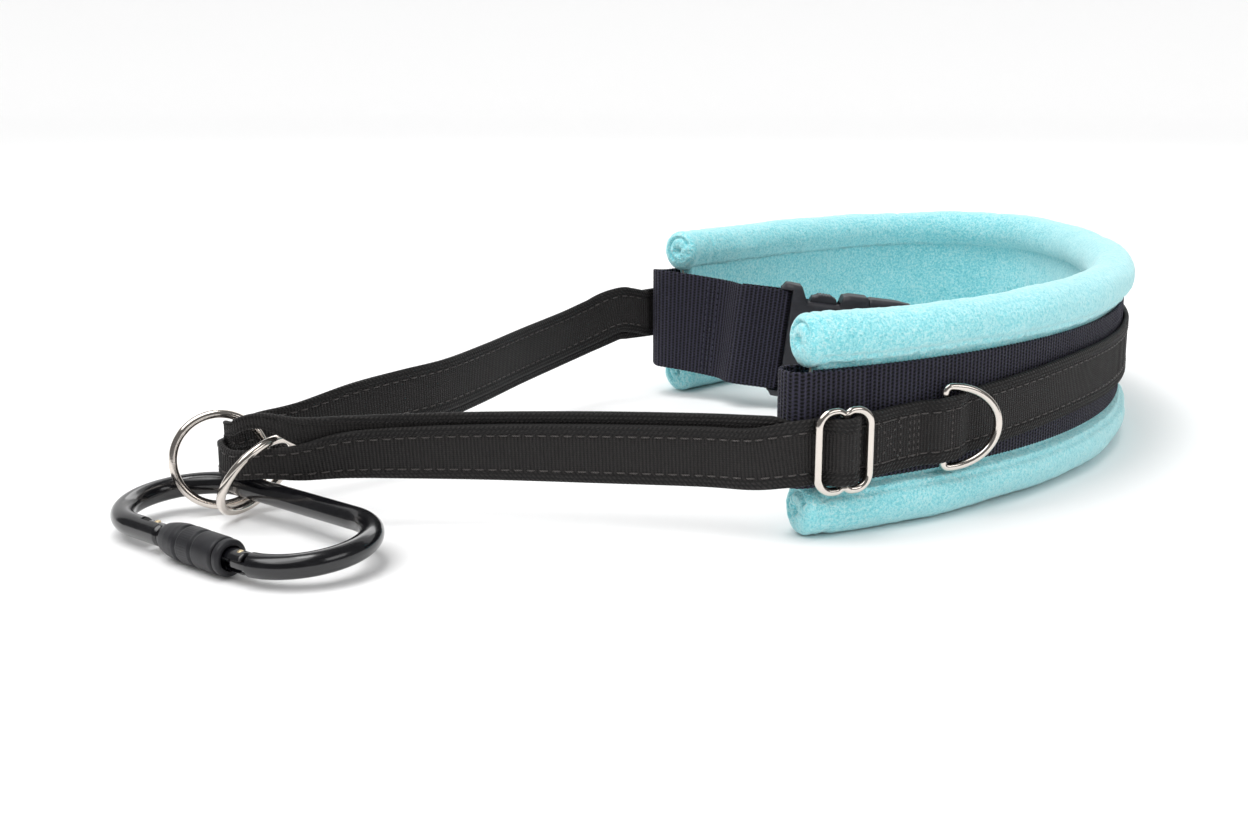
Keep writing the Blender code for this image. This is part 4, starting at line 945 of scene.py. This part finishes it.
def make_side_strap():
    start = NEAR_SLIDE_AT - SLIDE_HALF_WIDTH
    end = PAD_LENGTH - FAR_SLIDE_AT + SLIDE_HALF_WIDTH
    alongs = np.arange(start, end, RIB_PITCH / 3)
    middle = on_belt(alongs, side_offset(alongs), side_height(alongs))
    strap = Strap(middle, (0.0, 0.0, 1.0), SIDE_HALF, SIDE_THICKNESS - 0.0004)
    made = strap.build("side_strap_webbing", BLACK_WEB, rib_relief, 26, 6)
    belongs(made, "belt", "black_webbing", "side_strap")
    last = strap.run[-1]
    rows = row(0.024, last - 0.024, HEM_AT) + row(0.024, last - 0.024, -HEM_AT)
    sewn = strap.sewn("side_strap_stitches", rows, BLACK_THREAD)
    belongs(sewn, "belt", "black_webbing")
    pattern = box_x(0.030, 0.041, HEM_AT)
    for at in (0.0450, 0.0470, 0.0490, 0.0625, 0.020):
        pattern += bar(at, HEM_AT, 7)
    tacks = [(origin + sign * run, width, heading) for sign, origin in ((1.0, 0.0), (-1.0, last))
             for run, width, heading in pattern]
    sewn = strap.sewn("side_strap_tacks", tacks, BLACK_THREAD, 1.0, 0.0013, 0.00032)
    belongs(sewn, "belt", "black_webbing")


def buckle_point(x, y):
    return np.array(BUCKLE_CENTRE) + (x * math.cos(BUCKLE_DROOP), y, -x * math.sin(BUCKLE_DROOP))


def bar_wrap(x_bar, side, lead):
    """Webbing round a buckle bar: in on the -Y side, round the bar, back on the +Y side."""
    reach = BAR_HALF + GAP + NAVY_THICKNESS / 2
    turn = BAR_LENGTH / 2 + GAP + NAVY_THICKNESS / 2
    steps = [(-lead, -reach * 0.45), (-0.0050, -reach), (-0.0012, -reach)]
    steps += [(turn * 0.93, -reach * 0.93), (turn, 0.0), (turn * 0.93, reach * 0.93)]
    steps += [(-0.0012, reach), (-0.0050, reach), (-lead, reach * 0.45 + 0.0010)]
    return [buckle_point(x_bar + side * dx, dy) for dx, dy in steps]


def make_closing_strap(end, route, leans, wrap, columns, tacks):
    """Navy strap along a route of (x, y, z, half width) to its wrap round a buckle bar.

    Leans are the route's shares of the buckle's droop; tacks are (run, half, count) stitch bars.
    """
    half = route[-1][3]
    points = list(route) + [(*point, half) for point in wrap]
    droop = BUCKLE_DROOP * np.array(leans + [1.0] * len(wrap))
    path = smooth_through(np.column_stack((points, droop)), NAVY_PITCH / 3)
    across = np.column_stack((np.sin(path[:, 4]), np.zeros(len(path)), np.cos(path[:, 4])))
    half = path[:, 3] - 0.0001 + 0.00010 * np.cos(TAU * run_of(path) / NAVY_PITCH)
    strap = Strap(path[:, :3], across, half, NAVY_LOOK)
    made = strap.build(end + "_closing_webbing", NAVY, navy_relief, columns, columns)
    belongs(made, "belt", "navy_webbing", end + "_closing_strap")
    stitches = [stitch for tack in tacks for stitch in bar(*tack)]
    sewn = strap.sewn(end + "_closing_stitches", stitches, NAVY_THREAD, 1.0, 0.0021, 0.00034)
    belongs(sewn, "belt", "navy_webbing")


def make_far_closing_strap():
    ends = [(PAD_LENGTH - CLOSING_OVERLAP + run, BAND_HALF) for run in CLOSING_RUN]
    route = [(*on_belt(along, CLOSING_OFFSET, MID_HEIGHT)[0], half)
             for along, half in ends + [(PAD_LENGTH + 0.0050, 0.0206)]]
    route += [(-0.1030, 0.1110, 0.0382, 0.0226), (-0.1022, 0.1055, 0.0380, CLOSING_HALF),
              (-0.0975, 0.1016, 0.0378, CLOSING_HALF), (-0.0860, 0.0968, 0.0368, CLOSING_HALF),
              (-0.0720, 0.0900, 0.0352, CLOSING_HALF)]
    tacks = [(run, 0.0205, 16) for run in (0.066, 0.0685, 0.071)] + [(0.004, 0.017, 12)]
    make_closing_strap("far", route, [0.0] * 6 + [0.1, 0.4, 0.8],
                       bar_wrap(HOUSING_LEFT + BAR_LENGTH / 2, 1.0, 0.0190), 58, tacks)


def make_near_closing_strap():
    round_end = [(CLOSING_OVERLAP - run, CLOSING_OFFSET) for run in CLOSING_RUN]
    round_end += [(-0.0045, CLOSING_OFFSET), (-0.0078, 0.0045), (-0.0088, 0.0), (-0.0078, -0.0045),
                  (-0.0040, -0.0068), (0.0020, -0.0074)]
    route = [(*on_belt(along, offset, MID_HEIGHT - 0.0002)[0], BAND_HALF) for along, offset in round_end]
    route += [(x, y, z, NEAR_CLOSING_HALF) for x, y, z in (
        (-0.0380, -0.0920, 0.0385), (-0.0100, -0.0620, 0.0375), (0.0150, -0.0300, 0.0365),
        (0.0390, 0.0080, 0.0340), (0.0500, 0.0380, 0.0310), (0.0470, 0.0620, 0.0285),
        (0.0330, 0.0720, 0.0265))]
    tacks = [(run, 0.018, 14) for run in (0.052, 0.0545)] + [(0.004, 0.017, 12)]
    make_closing_strap("near", route, [0.0] * 10 + [0.1, 0.3, 0.5, 0.7, 0.9, 1.0],
                       bar_wrap(MALE_END - BAR_LENGTH / 2, -1.0, 0.0110), 52, tacks)


def tether_strap(inner):
    path = smooth_through(TETHER_NEAR_END + TETHER_WAYPOINTS + TETHER_FAR_END, RIB_PITCH / 3)
    if inner:
        run = run_of(path)
        path = path[(run > INNER_TRIM_NEAR) & (run < run[-1] - INNER_TRIM_FAR)]
    tangent = unit(np.gradient(path[:, :3], axis=0))
    inwards = unit(np.column_stack((tangent[:, 1], -tangent[:, 0], np.zeros(len(path)))))
    lean = np.radians(path[:, 4])
    across = np.column_stack((np.zeros(len(path)), -np.tan(lean), np.ones(len(path))))
    across = unit(across - tangent * (across * tangent).sum(axis=1)[:, None])
    middle = path[:, :3]
    half = path[:, 3]
    if inner:
        middle = middle + inwards * TETHER_SPACING + across * path[:, 5:6]
        half = path[:, 6]
    return Strap(middle, across, half, TETHER_THICKNESS - 0.0003)


def gather_relief(run, width, half):
    """The hems stay as wide where the strap is full width and close up where it gathers."""
    return rib_relief(run, width * SIDE_HALF / half, SIDE_HALF)


def make_tether():
    joint = next(j for j in frame["record"]["behaviour"]["joints"] if j["name"] == "tether_lift")
    away = unit(np.cross(joint["axis"], (0.0, 0.0, 1.0)))
    pivot = np.array(TETHER_WAYPOINTS[0][:3]) + SHIFT
    start = pivot + away * TETHER_BEND_REACH
    end = pivot - away * TETHER_BEND_REACH
    for name, inner, face in (("outer", False, -1.0), ("inner", True, 1.0)):
        strap = tether_strap(inner)
        made = strap.build("tether_" + name + "_webbing", BLACK_WEB, gather_relief, 26, 26)
        last = strap.run[-1]
        rows = []
        for sign in (1.0, -1.0):
            for run in np.arange(0.004, last - 0.004, STITCH_PITCH):
                half = np.interp(run, strap.run, strap.half)
                rows.append((run, sign * half * (1.0 - HEM_WIDTH / SIDE_HALF), 0.0))
        sewn = strap.sewn("tether_" + name + "_stitches", rows, BLACK_THREAD, face)
        for piece in (made, sewn):
            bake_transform(piece)
        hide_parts("tether_" + name + "_strap")


# ---------------- wire hardware
def make_wire(name, place, outline, body, node_name, radius=WIRE, sides=24, stem=None):
    """Closed wire along an (x, z) outline, with an optional bar across it."""
    shape = Shape().add(place(sweep(upright(outline), (0.0, 1.0, 0.0), radius, sides)), True)
    if stem is not None:
        shape.add(place(stem))
    belongs(shape.build(name, NICKEL), body, "nickel_wire", node_name)


def make_slide(name, along, node_name):
    tangent, outward = belt_axes(along)
    place = Place(on_belt(along, SLIDE_OFFSET, side_height(along))[0], tangent, -outward)
    half_w, half_h = SLIDE_HALF_WIDTH, SLIDE_HALF_HEIGHT
    corner = arc((half_w - SLIDE_CORNER, half_h - SLIDE_CORNER), SLIDE_CORNER, 0.0, 90.0, 14)
    over = np.linspace(half_w - SLIDE_CORNER, 0.0, 12)[1:]
    dip = np.column_stack((over, half_h - SLIDE_DIP * ease(1.0 - over / 0.0030)))
    quarter = np.vstack((corner, dip))
    upper = np.vstack((quarter, quarter[-2::-1] * (-1.0, 1.0)))
    outline = closed_loop(np.vstack((upper, -upper)), 0.0006)
    reach = half_h - SLIDE_DIP
    bar_line = np.column_stack((np.zeros(24), np.zeros(24), np.linspace(-reach, reach, 24)))
    flare = WIRE * (0.97 + 0.35 * ease((np.abs(bar_line[:, 2]) - reach + 0.0022) / 0.0022))
    stem = sweep(bar_line, (0.0, 1.0, 0.0), flare, 24, False)
    make_wire(name, place, outline, "belt", node_name, stem=stem)


def make_d_ring(name, along, direction, height, body):
    tangent, outward = belt_axes(along)
    bow_way = tangent * direction * math.cos(D_LEAN) + outward * math.sin(D_LEAN)
    place = Place(on_belt(along, D_BAR_OFFSET, height)[0], bow_way, np.cross((0.0, 0.0, 1.0), bow_way))
    turn = np.radians(np.linspace(-90.0, 90.0, 60))
    bow = np.column_stack((D_CORNER + (D_DEPTH - D_CORNER) * np.cos(turn), D_HALF_HEIGHT * np.sin(turn)))
    corner = arc((D_CORNER, D_HALF_HEIGHT - D_CORNER), D_CORNER, 90.0, 180.0, 10)
    outline = closed_loop(np.vstack((bow, corner[1:], corner[:0:-1] * (1.0, -1.0))), 0.0006)
    make_wire(name, place, outline, body, body)


def make_o_ring(name, centre, axis, body, node_name):
    """Round ring, butt-welded where it swells a little."""
    axis = unit(np.array(axis))
    place = Place(centre, np.cross(axis, (0.0, 0.0, 1.0)), axis)
    angle = np.linspace(0.0, TAU, 160, endpoint=False)
    outline = np.column_stack((np.cos(angle), np.sin(angle))) * RING_RADIUS
    weld = RING_WIRE * (1.0 + WELD_SWELL * np.exp(-((angle - WELD_ANGLE) / 0.05) ** 2))
    make_wire(name, place, outline, body, node_name, weld, 28)


# ---------------- carabiner
def carabiner_place():
    x = np.array((math.cos(CARABINER_HEADING), math.sin(CARABINER_HEADING), 0.0))
    flat_y = np.array((-x[1], x[0], 0.0))
    y = flat_y * math.cos(CARABINER_TILT) + np.array((0.0, 0.0, math.sin(CARABINER_TILT)))
    return Place(CARABINER_CENTRE, x, y)


def make_carabiner_body(place):
    """One rod from the half-round nose round the spine to the flat hinge tongue."""
    line = -OVAL_RADIUS
    nose = np.column_stack((np.linspace(NOSE_TIP_AT, -OVAL_HALF_STRAIGHT, 30), np.full(30, line)))
    left = arc((-OVAL_HALF_STRAIGHT, 0.0), OVAL_RADIUS, 270.0, 90.0, 60)
    spine = np.column_stack((np.linspace(-OVAL_HALF_STRAIGHT, OVAL_HALF_STRAIGHT, 60), np.full(60, -line)))
    right = arc((OVAL_HALF_STRAIGHT, 0.0), OVAL_RADIUS, 90.0, -90.0, 60)
    tongue_end = GATE_PIN_AT - TONGUE_RADIUS
    tongue = np.column_stack((np.linspace(OVAL_HALF_STRAIGHT, tongue_end, 14), np.full(14, line)))
    path = resample(np.vstack((nose, left[1:], spine[1:], right[1:], tongue[1:])), 0.0005)
    flat = np.column_stack((path, np.zeros(len(path))))
    run = run_of(path)
    radius = ROD_RADIUS * (0.86 + 0.14 * ease(run / 0.0012))
    on_tongue = (path[:, 0] < GATE_PIN_AT + HINGE_SHOULDER) & (run > run[-1] - 0.012)
    radius = np.where(on_tongue, TONGUE_RADIUS * (0.80 + 0.20 * ease((run[-1] - run) / 0.0016)), radius)
    rings = sweep(flat, (0.0, 0.0, 1.0), radius, 36, False)
    in_nose = (path[:, 0] > RECESS_FROM) & (run < 0.020)
    rings[in_nose, :, 1] = np.minimum(rings[in_nose, :, 1], line - NOSE_STEP)
    rings[on_tongue, :, 2] = np.clip(rings[on_tongue, :, 2], -TONGUE_HALF, TONGUE_HALF)
    made = Shape().add(place(rings)).build("carabiner_rod", GLOSS)
    belongs(made, "carabiner", "black_anodised", "carabiner_body")


def make_gate(place):
    """Round gate: a half-round tip under the nose, and two ears round the tongue."""
    line = -OVAL_RADIUS
    tip = LATCH_PIN_AT - GATE_RADIUS
    fork = GATE_PIN_AT - 0.0062
    tail = GATE_PIN_AT + GATE_TAIL
    shape = Shape()
    for start, end, side in ((tip, fork, 0.0), (fork - 0.0005, tail, 1.0), (fork - 0.0005, tail, -1.0)):
        x = np.arange(start, end, LOFT_STEP)
        from_end = x - start if side == 0.0 else end - x
        radius = GATE_RADIUS * (0.88 + 0.12 * ease(from_end / 0.0010))
        past_pin = np.maximum(x - GATE_PIN_AT, 0.0)
        radius = np.minimum(radius, np.sqrt(EAR_REACH ** 2 - past_pin ** 2))
        centres = np.column_stack((x, np.full(len(x), line), np.zeros(len(x))))
        rings = sweep(centres, (0.0, 0.0, 1.0), radius, 36, False)
        in_tip = (x < NOSE_TIP_AT + 0.0006) & (side == 0.0)
        rings[in_tip, :, 1] = np.maximum(rings[in_tip, :, 1], line - NOSE_STEP + GAP)
        inner = TONGUE_HALF + GAP
        if side > 0.0:
            rings[..., 2] = np.maximum(rings[..., 2], inner)
        if side < 0.0:
            rings[..., 2] = np.minimum(rings[..., 2], -inner)
        shape.add(place(rings))
    belongs(shape.build("gate_arm", GLOSS), "gate", "black_anodised", "gate")


def make_pin(name, place, x, y, body, node_name):
    """Riveted pin with two domed heads."""
    half = GATE_RADIUS + 0.0001
    profile = [(-half - 0.0002, 0.0001), (-half - 0.0001, PIN_RADIUS * 0.6), (-half + 0.0002, PIN_RADIUS),
               (-half + 0.0010, PIN_RADIUS * 0.97), (half - 0.0010, PIN_RADIUS * 0.97),
               (half - 0.0002, PIN_RADIUS), (half + 0.0001, PIN_RADIUS * 0.6), (half + 0.0002, 0.0001)]
    rings = turned(profile, 24)
    standing = np.stack((x + rings[..., 1], y + rings[..., 2], rings[..., 0]), -1)
    belongs(Shape().add(place(standing)).build(name, PIN), body, "pin_metal", node_name)


def bored(outer, bore):
    """Closed profile of a tube: its outer side and then its bore, back to the start."""
    first, last = outer[0][0], outer[-1][0]
    return np.array([(first, bore), *outer, (last, bore)])


def make_sleeve(place):
    """Screw sleeve in three bands, bell-shaped at the nose end, and the plain ring behind it."""
    radius = SLEEVE_RADIUS
    first = SLEEVE_FROM + 0.0105
    second = SLEEVE_FROM + 0.0190
    outer = [(SLEEVE_FROM, radius - 0.0017), (SLEEVE_FROM + 0.0004, radius - 0.0013),
             (SLEEVE_FROM + 0.0020, radius - 0.0009), (SLEEVE_FROM + 0.0045, radius - 0.0004),
             (SLEEVE_FROM + 0.0080, radius), (first - 0.0004, radius), (first, radius - 0.0003)]
    for groove in (first, second):
        outer += [(groove + 0.0003, radius - 0.0007), (groove + 0.0010, radius - 0.0007),
                  (groove + 0.0013, radius - 0.0003), (groove + 0.0017, radius)]
        if groove == first:
            outer += [(second - 0.0004, radius), (second, radius - 0.0003)]
    outer += [(SLEEVE_TO - 0.0009, radius), (SLEEVE_TO - 0.0003, radius - 0.0003),
              (SLEEVE_TO, radius - 0.0007)]

    def flutes(x, angle):
        grip = ease((x - first - 0.0018) / 0.0006) * ease((second - 0.0006 - x) / 0.0006)
        return 0.00007 * np.cos(angle * 44.0) * grip

    profile = closed_loop(bored(outer, SLEEVE_BORE), 0.00035)
    make_collar("screw_sleeve", place, turned(profile, 132, flutes), "lock_sleeve", "lock_sleeve")
    start = SLEEVE_TO + GAP
    ring = [(start, radius - 0.0009), (start + 0.0005, radius - 0.0003), (start + 0.0009, radius - 0.0002),
            (RETAINER_TO - 0.0009, radius - 0.0002), (RETAINER_TO - 0.0004, radius - 0.0005),
            (RETAINER_TO, radius - 0.0012)]
    profile = closed_loop(bored(ring, SLEEVE_BORE), 0.0003)
    make_collar("retaining_ring", place, turned(profile, 96), "sleeve_carrier", "sleeve_retaining_ring")


def make_collar(name, place, rings, body, node_name):
    """Turned tube round the gate's own line."""
    shape = Shape().add(place(rings + np.array((0.0, -OVAL_RADIUS, 0.0))), True)
    belongs(shape.build(name, SATIN, 50.0), body, "satin_sleeve", node_name)


# ---------------- buckle
def rounded_ring(x, low, high, half, corner):
    """Closed ring in the local YZ plane: a rectangle with round corners."""
    corner = min(corner, half * 0.98, (high - low) * 0.49)
    turns = ((1.0, 1.0, 0.0), (-1.0, 1.0, 90.0), (-1.0, -1.0, 180.0), (1.0, -1.0, 270.0))
    points = []
    for y_side, z_side, start in turns:
        z_at = high - corner if z_side > 0.0 else low + corner
        points.append(arc((y_side * (half - corner), z_at), corner, start, start + 90.0, 10))
    ring = np.vstack(points)
    return np.column_stack((np.full(len(ring), x), ring))


def lofted(stations):
    """Rings at (x, low, high, half thickness, corner radius) stations."""
    return np.array([rounded_ring(*row) for row in stations])


def profile_at(x, points):
    """Smooth value through (x, value) points."""
    xs, values = np.array(points).T
    index = np.clip(np.searchsorted(xs, x) - 1, 0, len(xs) - 2)
    share = ease((x - xs[index]) / (xs[index + 1] - xs[index]))
    return values[index] + (values[index + 1] - values[index]) * share


def make_housing(place):
    """Moulded socket: a tall block round the webbing bar, scooped sides and a mouth with a lip."""
    x = np.arange(HOUSING_LEFT, HOUSING_MOUTH + 0.0002, LOFT_STEP)
    tall = profile_at(x, ((HOUSING_LEFT, BLOCK_HALF - 0.0022), (HOUSING_LEFT + 0.0022, BLOCK_HALF),
                          (WINDOW_LEFT - 0.0040, BLOCK_HALF - 0.0004), (WINDOW_LEFT + 0.0003, WINDOW_HALF),
                          (WINDOW_RIGHT - 0.0003, WINDOW_HALF), (WINDOW_RIGHT + 0.0012, MOUTH_HALF - 0.0008),
                          (WINDOW_RIGHT + 0.0045, MOUTH_HALF), (HOUSING_MOUTH - 0.0014, MOUTH_HALF),
                          (HOUSING_MOUTH + 0.0004, MOUTH_HALF - 0.0010)))
    thick = profile_at(x, ((HOUSING_LEFT, HOUSING_HALF - 0.0024),
                           (HOUSING_LEFT + 0.0060, HOUSING_HALF - 0.0004),
                           (WINDOW_LEFT, HOUSING_HALF - 0.0002), (0.0, HOUSING_HALF), (0.0140, HOUSING_HALF),
                           (HOUSING_MOUTH - 0.0030, HOUSING_HALF - 0.0003),
                           (HOUSING_MOUTH + 0.0004, 0.0058)))
    rings = lofted([(at, -h, h, t, 0.0026) for at, h, t in zip(x, tall, thick)])
    made = Shape().add(place(rings)).build("buckle_housing", ACETAL)
    slot_half = CLOSING_HALF + 0.0004
    slot_from = HOUSING_LEFT + BAR_LENGTH
    cutters = [box_cutter(place, (WINDOW_LEFT - 0.0030, -CAVITY_DEPTH, -CAVITY_HALF),
                          (HOUSING_MOUTH + 0.01, CAVITY_DEPTH, CAVITY_HALF)),
               box_cutter(place, (slot_from, -THROUGH, -slot_half),
                          (slot_from + SLOT_LENGTH, THROUGH, slot_half))]
    for low, high in ((-THROUGH, -BAR_HALF), (BAR_HALF, THROUGH)):
        cutters.append(box_cutter(place, (HOUSING_LEFT - 0.01, low, -slot_half),
                                  (slot_from + 0.0001, high, slot_half)))
    cut(made, cutters)
    belongs(made, "belt", "acetal", "buckle_female_housing")


def make_male(place):
    """Plug: a crowned base round the webbing bar, a guide tongue and the arms' roots."""
    start = HOUSING_MOUTH + GAP
    x = np.arange(start, MALE_END + 0.0002, LOFT_STEP)
    tall = profile_at(x, ((start, MALE_HALF - 0.0004), (start + 0.0010, MALE_HALF),
                          (start + 0.012, MALE_HALF), (MALE_END - 0.0030, MALE_HALF - 0.0005),
                          (MALE_END + 0.0004, MALE_HALF - 0.0026)))
    thick = profile_at(x, ((start, MALE_HALF_THICKNESS), (start + 0.010, MALE_HALF_THICKNESS),
                           (MALE_END + 0.0004, MALE_HALF_THICKNESS - 0.0024)))
    rings = lofted([(at, -h, h, t, 0.0022) for at, h, t in zip(x, tall, thick)])
    made = Shape().add(place(rings)).build("buckle_plug", ACETAL)
    slot_to = MALE_END - BAR_LENGTH
    cutters = [box_cutter(place, (slot_to - PLUG_SLOT_LENGTH, -THROUGH, -MALE_SLOT_HALF),
                          (slot_to, THROUGH, MALE_SLOT_HALF))]
    for low, high in ((-THROUGH, -BAR_HALF), (BAR_HALF, THROUGH)):
        cutters.append(box_cutter(place, (slot_to - 0.0001, low, -MALE_SLOT_HALF),
                                  (MALE_END + 0.01, high, MALE_SLOT_HALF)))
    cut(made, cutters)
    belongs(made, "buckle_male", "acetal", "buckle_male")
    tongue_x = np.arange(WINDOW_LEFT, start + 0.0030, 0.0005)
    narrow = profile_at(tongue_x, ((WINDOW_LEFT, 0.0030), (WINDOW_LEFT + 0.004, 0.0050),
                                   (start + 0.003, 0.0050)))
    shape = Shape().add(place(lofted([(at, -w, w, 0.0030, 0.0010) for at, w in zip(tongue_x, narrow)])))
    for low, high in ((ARM_INNER, ARM_OUTER), (-ARM_OUTER, -ARM_INNER)):
        roots = np.arange(ARM_ROOT_AT + 0.0004, start + 0.0030, 0.0005)
        shape.add(place(lofted([(at, low, high, ARM_HALF_THICKNESS, 0.0008) for at in roots])))
    belongs(shape.build("buckle_tongue", ACETAL), "buckle_male", "acetal")


def make_arm(place, side, name, body, node_name):
    """Springy arm with a ridged thumb pad in the housing's side."""
    left = WINDOW_LEFT + 0.0008
    right = WINDOW_RIGHT - 0.0014
    x = np.arange(left, ARM_ROOT_AT + 0.0001, LOFT_STEP / 2)
    top = profile_at(x, ((left, PAD_TOP - 0.0040), (left + 0.0016, PAD_TOP - 0.0014),
                         (left + 0.0050, PAD_TOP), (right - 0.0034, PAD_TOP - 0.0001),
                         (right - 0.0006, PAD_TOP - 0.0014), (right + 0.0002, ARM_OUTER + 0.0006),
                         (right + 0.0012, ARM_OUTER), (ARM_ROOT_AT + 0.0002, ARM_OUTER)))
    on_pad = ease((x - left - 0.0020) / 0.0010) * ease((right - 0.0020 - x) / 0.0010)
    top = top - 0.00022 * on_pad * (0.5 + 0.5 * np.cos(TAU * x / 0.0014))
    spans = [(ARM_INNER, t) if side > 0.0 else (-t, -ARM_INNER) for t in top]
    rings = lofted([(at, low, high, ARM_HALF_THICKNESS, 0.0010) for at, (low, high) in zip(x, spans)])
    belongs(Shape().add(place(rings)).build(name, ACETAL), body, "acetal", node_name)


# ---------------- carried-over CAD nodes
def dress(names, finish):
    """Gives CAD nodes a procedural material, in their own material slots."""
    for name in names:
        kept = frame["nodes"][name]
        if not kept.material_slots:
            kept.data.materials.append(finish)
        for slot in kept.material_slots:
            slot.link = "OBJECT"
            slot.material = finish


# ---------------- studio
def make_floor():
    """A pale sweep: flat floor that curves up into a wall well behind the belt."""
    wall = arc((3.0, 1.2), 1.2, -90.0, 0.0, 20)
    side = np.vstack(((-8.0, -0.0003), (3.0, -0.0003), wall[1:], (4.2, 7.0)))
    points = [(x, y, z) for x in (-9.0, 9.0) for y, z in side]
    count = len(side)
    faces = [(i, i + 1, count + i + 1, count + i) for i in range(count - 1)]
    mesh = bpy.data.meshes.new("studio_floor")
    mesh.from_pydata(points, [], faces)
    mesh.shade_smooth()
    white = bpy.data.materials.new("studio_white")
    white.use_nodes = True
    shader = white.node_tree.nodes["Principled BSDF"]
    shader.inputs["Base Color"].default_value = (0.90, 0.90, 0.90, 1.0)
    shader.inputs["Roughness"].default_value = 0.9
    shader.inputs["Specular IOR Level"].default_value = 0.2
    mesh.materials.append(white)
    made = bpy.data.objects.new("studio_floor", mesh)
    bpy.context.scene.collection.objects.link(made)


def make_light(name, kind, source, energy, **settings):
    """A light at its source that points at the origin."""
    data = bpy.data.lights.new(name, kind)
    data.energy = energy
    for key, value in settings.items():
        setattr(data, key, value)
    made = bpy.data.objects.new(name, data)
    made.location = source
    made.rotation_euler = (-Vector(source)).to_track_quat("-Z", "Y").to_euler()
    bpy.context.scene.collection.objects.link(made)


def make_studio():
    make_floor()
    world = bpy.data.worlds.new("studio")
    world.use_nodes = True
    tree = world.node_tree
    seen = tree.nodes.new("ShaderNodeLightPath")
    glossy = Value(tree, seen.outputs["Is Glossy Ray"])
    camera = Value(tree, seen.outputs["Is Camera Ray"])
    background = tree.nodes["Background"]
    background.inputs["Color"].default_value = (1.0, 1.0, 1.0, 1.0)
    level = SKY_LEVEL - glossy * SKY_LOSS_IN_METAL + camera * SKY_GAIN_IN_VIEW
    feed(tree, background.inputs["Strength"], level)
    scene = bpy.context.scene
    scene.world = world
    scene.view_settings.view_transform = "Standard"
    make_light("overhead", "SUN", (-0.35, -0.30, 1.0), 1.20, angle=math.radians(50.0))
    for name, source, width, depth, energy in (("strip", (-0.22, -0.10, 1.2), 0.5, 0.25, 2.5),
                                               ("key", (-0.8, -0.4, 1.5), 0.9, 0.9, 5.0),
                                               ("fill", (1.2, -1.0, 0.9), 0.9, 0.6, 3.5),
                                               ("back", (0.1, 1.4, 1.1), 1.5, 0.5, 5.0)):
        make_light(name, "AREA", source, energy, shape="RECTANGLE", size=width, size_y=depth)


def make_camera():
    data = bpy.data.cameras.new("studio_camera")
    data.lens = 46.17
    data.sensor_width = 36.0
    made = bpy.data.objects.new("studio_camera", data)
    made.location = (-0.02696, -0.67320, 0.16812)
    made.rotation_euler = (math.radians(76.745), 0.0, 0.0)
    bpy.context.scene.collection.objects.link(made)
    bpy.context.scene.camera = made


# ---------------- the whole belt
def build():
    make_fleece_pad()
    for end, along, direction in (("near", 0.0, -1.0), ("far", PAD_LENGTH, 1.0)):
        make_end_cap(end + "_lower_roll_end", along, direction, ROLL_HEIGHT, end + "_lower_end_cap")
        make_end_cap(end + "_upper_roll_end", along, direction, PAD_HEIGHT - ROLL_HEIGHT,
                     end + "_upper_end_cap")
    make_navy_band()
    make_side_strap()
    make_far_closing_strap()
    make_near_closing_strap()
    make_tether()
    make_slide("near_slide_wire", NEAR_SLIDE_AT, "near_slide")
    make_slide("far_slide_wire", PAD_LENGTH - FAR_SLIDE_AT, "far_slide")
    make_d_ring("near_d_wire", D_RING_AT, 1.0, side_height(D_RING_AT), "near_d_ring")
    make_d_ring("far_d_wire", PAD_LENGTH - D_RING_AT, -1.0, MID_HEIGHT, "far_d_ring")
    make_o_ring("right_ring_wire", RIGHT_RING_CENTRE, RIGHT_RING_AXIS, "right_ring", "right_o_ring")
    make_o_ring("left_ring_wire", LEFT_RING_CENTRE, LEFT_RING_AXIS, "left_ring", "left_o_ring")
    carabiner = carabiner_place()
    make_carabiner_body(carabiner)
    make_gate(carabiner)
    make_pin("hinge_rivet", carabiner, GATE_PIN_AT, -OVAL_RADIUS, "carabiner", "gate_hinge_pin")
    make_pin("latch_rivet", carabiner, LATCH_PIN_AT, -OVAL_RADIUS + LATCH_PIN_INSET, "gate",
             "gate_latch_pin")
    make_sleeve(carabiner)
    buckle = Place(BUCKLE_CENTRE, (math.cos(BUCKLE_DROOP), 0.0, -math.sin(BUCKLE_DROOP)), (0.0, 1.0, 0.0))
    make_housing(buckle)
    make_male(buckle)
    make_arm(buckle, 1.0, "buckle_upper_spring_arm", "upper_arm", "buckle_upper_arm")
    make_arm(buckle, -1.0, "buckle_lower_spring_arm", "lower_arm", "buckle_lower_arm")
    dress(("lower_foam_roll", "upper_foam_roll", "foam_back_panel"), FOAM)
    dress(("gate_spring", "spring_plunger"), SPRING)


build()
make_studio()
make_camera()
